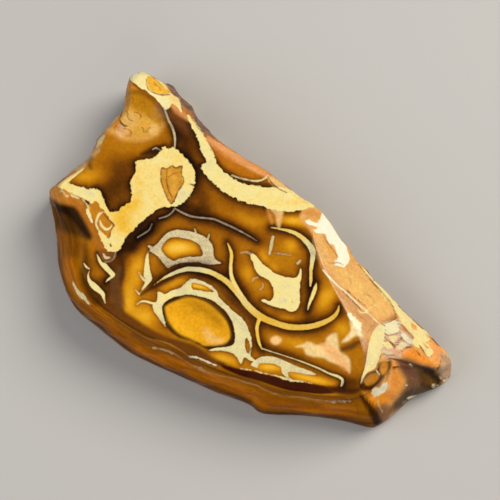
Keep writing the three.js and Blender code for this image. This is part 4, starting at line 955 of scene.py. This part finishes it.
def segmentDistance(x, y, path):
    # least over segments of |p - nearest point| - half the width there
    best = np.full(len(x), look["farthest"])
    for start, end in zip(path[:-1], path[1:]):
        ax, ay = end[0] - start[0], end[1] - start[1]
        t = np.clip(((x - start[0]) * ax + (y - start[1]) * ay) / max(ax * ax + ay * ay, 1e-9), 0, 1)
        away = np.hypot(x - start[0] - t * ax, y - start[1] - t * ay)
        if len(start) > 2:
            away = away - (start[2] + (end[2] - start[2]) * t) / 2
        best = np.minimum(best, away)
    return best


def outlineDistance(x, y, points):
    # distance to a closed outline, below zero inside; inside by counting the edges crossed
    path = smoothPath(points, True, look["outlineSteps"])
    path = np.concatenate([path, path[:1]])
    inside = np.zeros(len(x), bool)
    for start, end in zip(path[:-1], path[1:]):
        crosses = (start[1] > y) != (end[1] > y)
        slope = (end[0] - start[0]) / ((end[1] - start[1]) or 1e-9)
        inside ^= crosses & (x < start[0] + (y - start[1]) * slope)
    away = segmentDistance(x, y, path)
    return np.where(inside, -away, away)


def softSpots(x, y, spots):
    # sum of change * exp(-r^2), r counted in half lengths and half widths of the turned spot
    total = np.zeros(len(x))
    for spotX, spotY, length, width, turn, change in spots:
        c, s = math.cos(math.radians(turn)), math.sin(math.radians(turn))
        along, across = (x - spotX) * c + (y - spotY) * s, (y - spotY) * c - (x - spotX) * s
        total += change * np.exp(-(along / length) ** 2 - (across / width) ** 2)
    return total


def buildStone(columns, rings, patch):
    # one closed mesh: the patch inside the first ring, the rings, and one flat face under the last ring
    short, long = columns["divisions"][0], columns["divisions"][1]
    count = len(columns["rim"])
    levels = len(rings)
    inner = patch[1:-1, 1:-1].reshape(-1, 3)
    points = np.concatenate([np.stack(rings).reshape(-1, 3), inner])
    grid = np.zeros((short + 1, long + 1), int)
    grid[1:-1, 1:-1] = levels * count + np.arange((short - 1) * (long - 1)).reshape(short - 1, long - 1)
    grid[:, 0] = np.arange(short + 1)
    grid[-1, :] = short + np.arange(long + 1)
    grid[:, -1] = (short + long + np.arange(short + 1))[::-1]
    grid[0, :] = ((2 * short + long + np.arange(long + 1)) % count)[::-1]
    top = np.stack([grid[:-1, :-1], grid[:-1, 1:], grid[1:, 1:], grid[1:, :-1]], -1).reshape(-1, 4)
    here = np.arange(count)
    beside = (here + 1) % count
    square = np.stack([here, beside, beside + count, here + count], -1)
    sides = np.concatenate([square + level * count for level in range(levels - 1)])
    faces = np.concatenate([top, sides])
    under = (levels - 1) * count + here
    shift = (points.min(0) + points.max(0)) / 2 * [1, 1, 0]
    mesh = bpy.data.meshes.new("opalStone")
    mesh.from_pydata(((points - shift) * metresPerMm).tolist(), [], faces.tolist() + [under.tolist()])
    mesh.polygons.foreach_set("use_smooth", [True] * len(faces) + [False])
    mesh.update()
    side = np.concatenate([np.tile(columns["side"], (levels, 1)), np.zeros((len(inner), 4))])
    around = np.concatenate([np.tile(columns["around"], levels), np.zeros(len(inner))])
    ring = np.concatenate([np.repeat(ringShares, count), np.zeros(len(inner))])
    return mesh, points, shift, {"ring": ring, "side": side, "around": around}


def linear(colour):
    # seen colour out of 255 to light: c / 12.92 below 0.04045, else ((c + 0.055) / 1.055)^2.4
    seen = np.array(colour) / 255
    light = np.where(seen <= 0.04045, seen / 12.92, ((seen + 0.055) / 1.055) ** 2.4)
    return (*light.tolist(), 1.0)


def nearShape(x, y, shown, shape, reach):
    # the shown points within reach of a shape, and their signed distance to it less its holes
    if "outline" in shape:
        line, measure = shape["outline"], outlineDistance
    else:
        line, measure = smoothPath(shape["path"], False, look["pathSteps"]), segmentDistance
    corners = np.array(line)[:, :2]
    low, high = corners.min(0) - reach, corners.max(0) + reach
    near = np.nonzero((x > low[0]) & (x < high[0]) & (y > low[1]) & (y < high[1]) & shown)[0]
    away = measure(x[near], y[near], line)
    for hole in shape.get("holes", []):
        away = np.maximum(away, -outlineDistance(x[near], y[near], hole))
    return near, away


def paleShapes():
    # every cell and vein with its usual values filled in, and one for each path of a shape with several
    for shape in [*paleCells.values(), *paleVeins.values()]:
        for path in shape.get("paths", [shape.get("path")]):
            yield {**paleUsual, **shape, "path": path}


def palePattern(x, y, shown):
    # the nearest shape gives a point its edge distance and tones
    # halos multiply: 1 - dark * exp(-(distance / halo)^1.35)
    layer = {name: np.full(len(x), value) for name, value in farValues.items()}
    clear = np.ones(len(x))
    for shape in paleShapes():
        near, away = nearShape(x, y, shown, shape, look["reach"])
        scaled = away / shape["soft"]
        nearer = scaled < layer["paleEdge"][near]
        layer["paleEdge"][near[nearer]] = scaled[nearer]
        for name in ("gold", "white", "strength", "rag"):
            layer[name][near[nearer]] = shape[name]
        clear[near] *= 1 - shape["dark"] * np.exp(-(np.maximum(away, 0) / shape["halo"]) ** look["haloCurve"])
    layer["gold"] += softSpots(x, y, goldSpots)
    return layer, 1 - clear


def washPattern(x, y, shown):
    # each wash covers what is under it by strength * (1 - step from -soft to soft of its distance)
    colour, cover = np.zeros((len(x), 3)), np.zeros(len(x))
    for wash in washes.values():
        shape = {**washUsual, **wash}
        near, away = nearShape(x, y, shown, shape, shape["soft"] + 1)
        share = shape["strength"] * (1 - stepUp(away, -shape["soft"], shape["soft"]))
        total = 1 - (1 - cover[near]) * (1 - share)
        mixed = share / np.maximum(total, 1e-6)
        colour[near] += (np.array(linear(shape["colour"])[:3]) - colour[near]) * mixed[:, None]
        cover[near] = total
    return colour, cover


def linePattern(x, y, shown):
    # distance to the nearest seam, and how light that seam is
    edge, light = np.full(len(x), look["unseenEdge"]), np.zeros(len(x))
    for strokeLight, path in [stroke for strokes in brownLines.values() for stroke in strokes]:
        near, away = nearShape(x, y, shown, {"path": path}, look["lineReach"])
        nearer = away < edge[near]
        edge[near[nearer]] = away[nearer]
        light[near[nearer]] = strokeLight
    return edge, light


def flankStreaks(place):
    # lattice noises drawn out along the flank, added up; none on the face
    ring = place["ring"]
    lengthwise = np.stack([place["around"], ring * look["ringHeight"], 0 * ring], -1)
    total = sum(strength * lattice(lengthwise / np.array([stretch, 1, 1]), size, seed)
                for stretch, size, strength, seed in look["streaks"])
    return total * place["side"][:, 3] * stepUp(ring, *fades["streak"])


def rockNoise(points):
    # lattice noises of the unseen sides, added up
    return sum(strength * lattice(points * np.array([1, 1, flatter]), size, seed)
               for flatter, size, strength, seed in look["rock"])


def unseenVeins(points, rock, flank):
    # signed distance to pale patches: steep * (width - |noise| - a share of the rock) + 3 on the flank
    vein = look["hiddenVein"]
    noise = lattice(points * np.array([1, 1, vein["flatter"]]), vein["size"], vein["seed"])
    distance = vein["steep"] * (vein["width"] - np.abs(noise) - vein["rockShare"] * rock)
    return np.maximum(distance + vein["flankLess"] * flank, vein["deepest"])


def polishOf(ring, rough, flank, seen, dull):
    # two shares, each its full value less the losses of rough, flank, unseen and dull places
    worn = rough * stepUp(ring, *fades["worn"])
    polish = 1 - worn * gloss["roughLoss"] - gloss["flankLoss"] * flank * stepUp(ring, *fades["flankPolish"])
    polish = np.minimum(polish, 1 - gloss["hiddenLoss"] * (1 - seen)) - gloss["dullLoss"] * dull
    mirror = gloss["mirror"] - gloss["mirrorFlankLoss"] * flank * stepUp(ring, *fades["flankMirror"])
    mirror = (mirror - gloss["mirrorRoughLoss"] * worn) * (1 - gloss["mirrorDullLoss"] * dull)
    mirror = np.clip(mirror, gloss["mirrorLeast"], 1) * seen + gloss["mirrorHidden"] * (1 - seen)
    return np.clip(polish, 0, 1), mirror


def paintStone(mesh, points, place):
    # every vertex gets its tones from its picture place, or on the unseen sides from noise
    # a place is seen by the step from 0 to the grazing cosine of its normal to the eye
    x, y = picturePlace(points)
    normals = np.zeros(len(points) * 3, np.float32)
    mesh.vertex_normals.foreach_get("vector", normals)
    toEye = eyePlace() - points
    toEye /= np.linalg.norm(toEye, axis=1)[:, None]
    seen = stepUp((normals.reshape(-1, 3) * toEye).sum(1), 0.0, look["grazing"])
    shown = seen > 0
    hidden = 1 - seen
    ring, side = place["ring"], place["side"]
    rough, flank = side[:, :3].sum(1), side[:, 3]

    pale, halo = palePattern(x, y, shown)
    washColour, washCover = washPattern(x, y, shown)
    seamEdge, seamLight = linePattern(x, y, shown)
    streak = flankStreaks(place)
    rock = rockNoise(points)

    tone = look["amberTone"] + softSpots(x, y, amberSpots) * (1 - stepUp(ring, *fades["spotsEnd"]))
    # painted shade: the flank darkens towards its foot
    flankTone = look["flankTone"] - look["flankFootShadeDrop"] * stepUp(ring, *fades["flankFootShade"])
    tone += (flankTone - tone) * flank * stepUp(ring, *fades["flank"]) - look["haloDepth"] * halo
    rustTone = (side @ np.array(look["edgeTones"]) - look["rustHaloDepth"] * halo) * seen
    rustTone += (look["hiddenTone"] + look["hiddenMottle"] * rock) * hidden
    rustShare = np.maximum(rough * stepUp(ring, *fades["rust"]), hidden)
    pale["paleEdge"] = pale["paleEdge"] * seen + unseenVeins(points, rock, flank) * hidden
    leftwards = stepUp(-x, -look["skinRight"], -look["skinLeft"])
    skinPatch = stepUp(ring, *fades["rimSkin"]) * side[:, 1] * leftwards
    skin = look["hiddenSkin"]
    skinStrength = skin["strength"] - skin["flankLess"] * flank
    hiddenSkin = hidden * stepUp(rock, skin["from"], skin["to"]) * skinStrength
    dull = np.clip(softSpots(x, y, dullSpots), 0, 1) * (ring < 1)
    polish, mirror = polishOf(ring, rough, flank, seen, dull)

    values = {**pale, "tone": tone, "rustTone": rustTone, "rustShare": rustShare,
              "skinShare": np.maximum(skinPatch, hiddenSkin), "washCover": washCover * seen,
              "seamEdge": seamEdge + look["unseenEdge"] * hidden, "seamLight": seamLight,
              "streak": streak, "polish": polish, "mirror": mirror}
    for name, value in values.items():
        layer = mesh.attributes.new(name, "FLOAT", "POINT")
        layer.data.foreach_set("value", value.astype(np.float32))
    layer = mesh.attributes.new("wash", "FLOAT_COLOR", "POINT")
    washColour = np.concatenate([washColour, np.ones((len(x), 1))], 1)
    layer.data.foreach_set("color", washColour.ravel().astype(np.float32))


class Paint:
    # a material and short names for the few node kinds that the finishes need
    def __init__(self, name, noises=None):
        self.material = bpy.data.materials.new(name)
        self.material.use_nodes = True
        self.tree = self.material.node_tree
        self.shader = self.tree.nodes["Principled BSDF"]
        self.coordinates = self.add("ShaderNodeTexCoord").outputs["Object"]
        self.noises = {key: self.noise(*numbers) for key, numbers in (noises or {}).items()}

    def add(self, kind):
        return self.tree.nodes.new(kind)

    def feed(self, socket, value):
        # a link from another node's socket, or a plain value
        if isinstance(value, bpy.types.NodeSocket):
            self.tree.links.new(value, socket)
        else:
            socket.default_value = value

    def read(self, name, output="Fac"):
        # what the mesh holds at each vertex under this name
        node = self.add("ShaderNodeAttribute")
        node.attribute_name = name
        return node.outputs[output]

    def shade(self, colour, factor):
        # colour * factor
        node = self.add("ShaderNodeVectorMath")
        node.operation = "SCALE"
        self.feed(node.inputs[0], colour)
        self.feed(node.inputs["Scale"], factor)
        return node.outputs[0]

    def arithmetic(self, kind, *values):
        node = self.add("ShaderNodeMath")
        node.operation = kind
        for socket, value in zip(node.inputs, values):
            self.feed(socket, value)
        return node.outputs[0]

    def noise(self, scale, detail, stretch=None):
        # smooth noise of so many cells a metre, less 0.5
        node = self.add("ShaderNodeTexNoise")
        node.inputs["Scale"].default_value = scale
        node.inputs["Detail"].default_value = detail
        spot = self.coordinates
        if stretch:
            mapping = self.add("ShaderNodeMapping")
            mapping.inputs["Scale"].default_value = stretch
            self.feed(mapping.inputs["Vector"], spot)
            spot = mapping.outputs["Vector"]
        self.feed(node.inputs["Vector"], spot)
        return self.arithmetic("SUBTRACT", node.outputs["Fac"], 0.5)

    def layered(self, base, shares):
        # base + share * noise, for each noise named
        for name, share in shares.items():
            base = self.arithmetic("MULTIPLY_ADD", self.noises[name], share, base)
        return base

    def span(self, value, low, high, toLow=0.0, toHigh=1.0):
        # from low..high to toLow..toHigh in a straight line, held at the ends
        node = self.add("ShaderNodeMapRange")
        for name, number in (("From Min", low), ("From Max", high), ("To Min", toLow), ("To Max", toHigh)):
            node.inputs[name].default_value = number
        self.feed(node.inputs["Value"], value)
        return node.outputs["Result"]

    def ramp(self, value, stops):
        # a colour scale, straight between its stops
        node = self.add("ShaderNodeValToRGB")
        band = node.color_ramp
        while len(band.elements) < len(stops):
            band.elements.new(0.5)
        for element, (position, colour) in zip(band.elements, stops):
            element.position = position
            element.color = linear(colour)
        self.feed(node.inputs["Fac"], value)
        return node.outputs["Color"]

    def blend(self, share, under, over):
        # under + (over - under) * share
        node = self.add("ShaderNodeMix")
        node.data_type = "RGBA"
        self.feed(node.inputs[0], share)
        self.feed(node.inputs[6], under)
        self.feed(node.inputs[7], over)
        return node.outputs[2]

    def bump(self, depth, strength, height):
        # small relief of so many metres, on the shader's normal
        node = self.add("ShaderNodeBump")
        node.inputs["Distance"].default_value = depth
        self.feed(node.inputs["Strength"], strength)
        self.feed(node.inputs["Height"], height)
        self.feed(self.shader.inputs["Normal"], node.outputs["Normal"])


opalFinish = {
    # cells a metre and detail
    "noise": {"mottle": (420, 3), "speckle": (3200, 3), "band": (900, 4), "skinGrain": (1500, 4),
              "drift": (900, 3), "grain": (5200, 3), "rag": (2300, 4), "fineRag": (6000, 2),
              "waver": (3600, 2), "haze": (2600, 3), "pits": (1900, 5)},
    # how much of each noise goes into each layer
    "tone": {"band": 0.09, "speckle": 0.12, "mottle": 0.15, "streak": 0.07},
    "rustTone": {"speckle": 0.20, "band": 0.22},
    "skinTone": 0.48, "skin": {"skinGrain": 1.1},
    "wash": {"speckle": 0.62, "band": 0.36, "streak": 0.34},
    "edge": {"fineRag": 0.9, "rag": 3.6},
    "gold": {"grain": 0.34, "drift": 0.30},
    "pale": {"speckle": 0.24},
    "seamEdge": {"waver": 1.1},
    "paleHalfEdge": 0.5,          # pixels
    "seam": (0.45, -0.55, 0.0, 0.9),            # pixels in and out of the line, and how well it covers there
    "roughness": (0.6, 0.14), "gloss": {"haze": 0.16},
    "bumpDepth": 0.00012, "bumpStrength": (0.9, 0.04), "bump": {"pits": 1.0, "streak": 0.8},
    "ior": 1.45,
}


def polishedOpal():
    # amber, then rust, skin and washes, then pale opal with ragged edges, then seams
    finish = opalFinish
    paint = Paint("polishedOpal", finish["noise"])
    paint.noises["streak"] = paint.read("streak")
    amber = paint.ramp(paint.layered(paint.read("tone"), finish["tone"]), shades["amber"])
    rust = paint.ramp(paint.layered(paint.read("rustTone"), finish["rustTone"]), shades["rust"])
    colour = paint.blend(paint.read("rustShare"), amber, rust)
    skin = paint.ramp(paint.layered(finish["skinTone"], finish["skin"]), shades["skin"])
    colour = paint.blend(paint.read("skinShare"), colour, skin)
    washed = paint.shade(paint.read("wash", "Color"), paint.layered(1.0, finish["wash"]))
    colour = paint.blend(paint.read("washCover"), colour, washed)
    ragged = paint.layered(0.0, finish["edge"])
    edge = paint.arithmetic("MULTIPLY_ADD", ragged, paint.read("rag"), paint.read("paleEdge"))
    inside = paint.span(edge, finish["paleHalfEdge"], -finish["paleHalfEdge"])
    pale = paint.ramp(paint.layered(paint.read("gold"), finish["gold"]), shades["pale"])
    pale = paint.shade(pale, paint.layered(1.0, finish["pale"]))
    pale = paint.blend(paint.read("white"), pale, linear(shades["white"]))
    colour = paint.blend(paint.arithmetic("MULTIPLY", inside, paint.read("strength")), colour, pale)
    seam = paint.span(paint.layered(paint.read("seamEdge"), finish["seamEdge"]), *finish["seam"])
    colour = paint.blend(seam, colour, paint.ramp(paint.read("seamLight"), shades["line"]))
    polish = paint.read("polish")
    rough = paint.layered(paint.span(polish, 0.0, 1.0, *finish["roughness"]), finish["gloss"])
    height = paint.layered(paint.noises["grain"], finish["bump"])
    paint.bump(finish["bumpDepth"], paint.span(polish, 0.0, 1.0, *finish["bumpStrength"]), height)
    paint.feed(paint.shader.inputs["Base Color"], colour)
    paint.feed(paint.shader.inputs["Roughness"], rough)
    paint.shader.inputs["IOR"].default_value = finish["ior"]
    paint.feed(paint.shader.inputs["Specular IOR Level"], paint.read("mirror"))
    return paint.material


sawnFinish = {
    # cells a metre, detail and stretch
    "noise": {"seams": (260, 5, (1.0, 1.6, 1.0)), "ground": (700, 5), "rust": (500, 4), "pale": (900, 3),
              "patches": (330, 4, (1.4, 0.8, 1.0)), "sawLines": (1800, 2, (0.05, 2.2, 1.0))},
    "groundTone": 0.46, "ground": {"ground": 1.0},
    "rustTone": 0.42, "rust": {"rust": 0.9},
    "paleTone": 0.35, "pale": {"pale": 0.6},
    "seamSpan": (-0.02, 0.10), "paleSpan": (0.13, 0.16),
    "bumpDepth": 0.00005, "bumpStrength": 0.5, "roughness": 0.55, "ior": 1.46,
}


def sawnUnderside():
    # ironstone cut flat: brown ground, rust seams, pale patches and faint straight saw lines
    finish = sawnFinish
    paint = Paint("sawnUnderside", finish["noise"])
    ground = paint.ramp(paint.layered(finish["groundTone"], finish["ground"]), shades["skin"])
    rust = paint.ramp(paint.layered(finish["rustTone"], finish["rust"]), shades["rust"])
    pale = paint.ramp(paint.layered(finish["paleTone"], finish["pale"]), shades["pale"])
    colour = paint.blend(paint.span(paint.noises["seams"], *finish["seamSpan"]), ground, rust)
    colour = paint.blend(paint.span(paint.noises["patches"], *finish["paleSpan"]), colour, pale)
    paint.bump(finish["bumpDepth"], finish["bumpStrength"], paint.noises["sawLines"])
    paint.feed(paint.shader.inputs["Base Color"], colour)
    paint.shader.inputs["Roughness"].default_value = finish["roughness"]
    paint.shader.inputs["IOR"].default_value = finish["ior"]
    return paint.material


mesh, points, shift, place = buildStone(columns, rings, patch)
print("stone mesh:", len(mesh.vertices), "vertices", len(mesh.polygons), "faces")
paintStone(mesh, points, place)
print("pattern worked out")
slab = bpy.data.objects.new("opalSlab", mesh)
bpy.context.scene.collection.objects.link(slab)
mesh.materials.append(polishedOpal())
mesh.materials.append(sawnUnderside())
mesh.polygons[len(mesh.polygons) - 1].material_index = 1
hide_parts("opal_slab")
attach(slab, "root")
print("finishes made")

studio = {
    "floorSize": 1.2, "floor": (192, 189, 184), "floorRoughness": 0.75,
    "world": (232, 236, 242), "worldStrength": 0.16,
    # name, place in metres, size, watts, colour
    "lamps": [("keyLamp", (0.22, 0.16, 0.30), 0.26, 1.50, (255, 250, 242)),
              ("fillLamp", (-0.30, -0.05, 0.26), 0.40, 0.72, (244, 248, 255)),
              ("frontLamp", (0.05, -0.34, 0.20), 0.30, 0.30, (255, 252, 248))],
    "sensor": 36, "clipStart": 0.01,
}


def plainFloor():
    # one flat square under the stone
    half = studio["floorSize"] / 2
    floorMesh = bpy.data.meshes.new("floor")
    corners = [(-half, -half, 0), (half, -half, 0), (half, half, 0), (-half, half, 0)]
    floorMesh.from_pydata(corners, [], [(0, 1, 2, 3)])
    paint = Paint("plainFloor")
    paint.shader.inputs["Base Color"].default_value = linear(studio["floor"])
    paint.shader.inputs["Roughness"].default_value = studio["floorRoughness"]
    floorMesh.materials.append(paint.material)
    floor = bpy.data.objects.new("floor", floorMesh)
    bpy.context.scene.collection.objects.link(floor)


def softLamps():
    # round lamps turned to the stone, and a pale even room
    for name, spot, size, watts, colour in studio["lamps"]:
        light = bpy.data.lights.new(name, "AREA")
        light.shape = "DISK"
        light.size = size
        light.energy = watts
        light.color = linear(colour)[:3]
        lamp = bpy.data.objects.new(name, light)
        lamp.location = spot
        lamp.rotation_euler = (-Vector(spot)).to_track_quat("-Z", "Y").to_euler()
        bpy.context.scene.collection.objects.link(lamp)
    world = bpy.data.worlds.new("paleRoom")
    world.use_nodes = True
    background = world.node_tree.nodes["Background"]
    background.inputs["Color"].default_value = linear(studio["world"])
    background.inputs["Strength"].default_value = studio["worldStrength"]
    bpy.context.scene.world = world


def readingCamera():
    # the eye that the outlines were read from; its lens shows the whole picture at the reading distance
    camera = bpy.data.cameras.new("camera")
    camera.sensor_width = studio["sensor"]
    camera.lens = camera.sensor_width * reading["distance"] / (reading["picture"] * reading["pixel"])
    camera.clip_start = studio["clipStart"]
    holder = bpy.data.objects.new("camera", camera)
    holder.location = (eyePlace() - shift) * metresPerMm
    holder.rotation_euler = (math.pi / 2 - reading["elevation"], 0, 0)
    bpy.context.scene.collection.objects.link(holder)
    bpy.context.scene.camera = holder


plainFloor()
softLamps()
readingCamera()
bpy.context.scene.view_settings.view_transform = "Standard"
print("studio made")
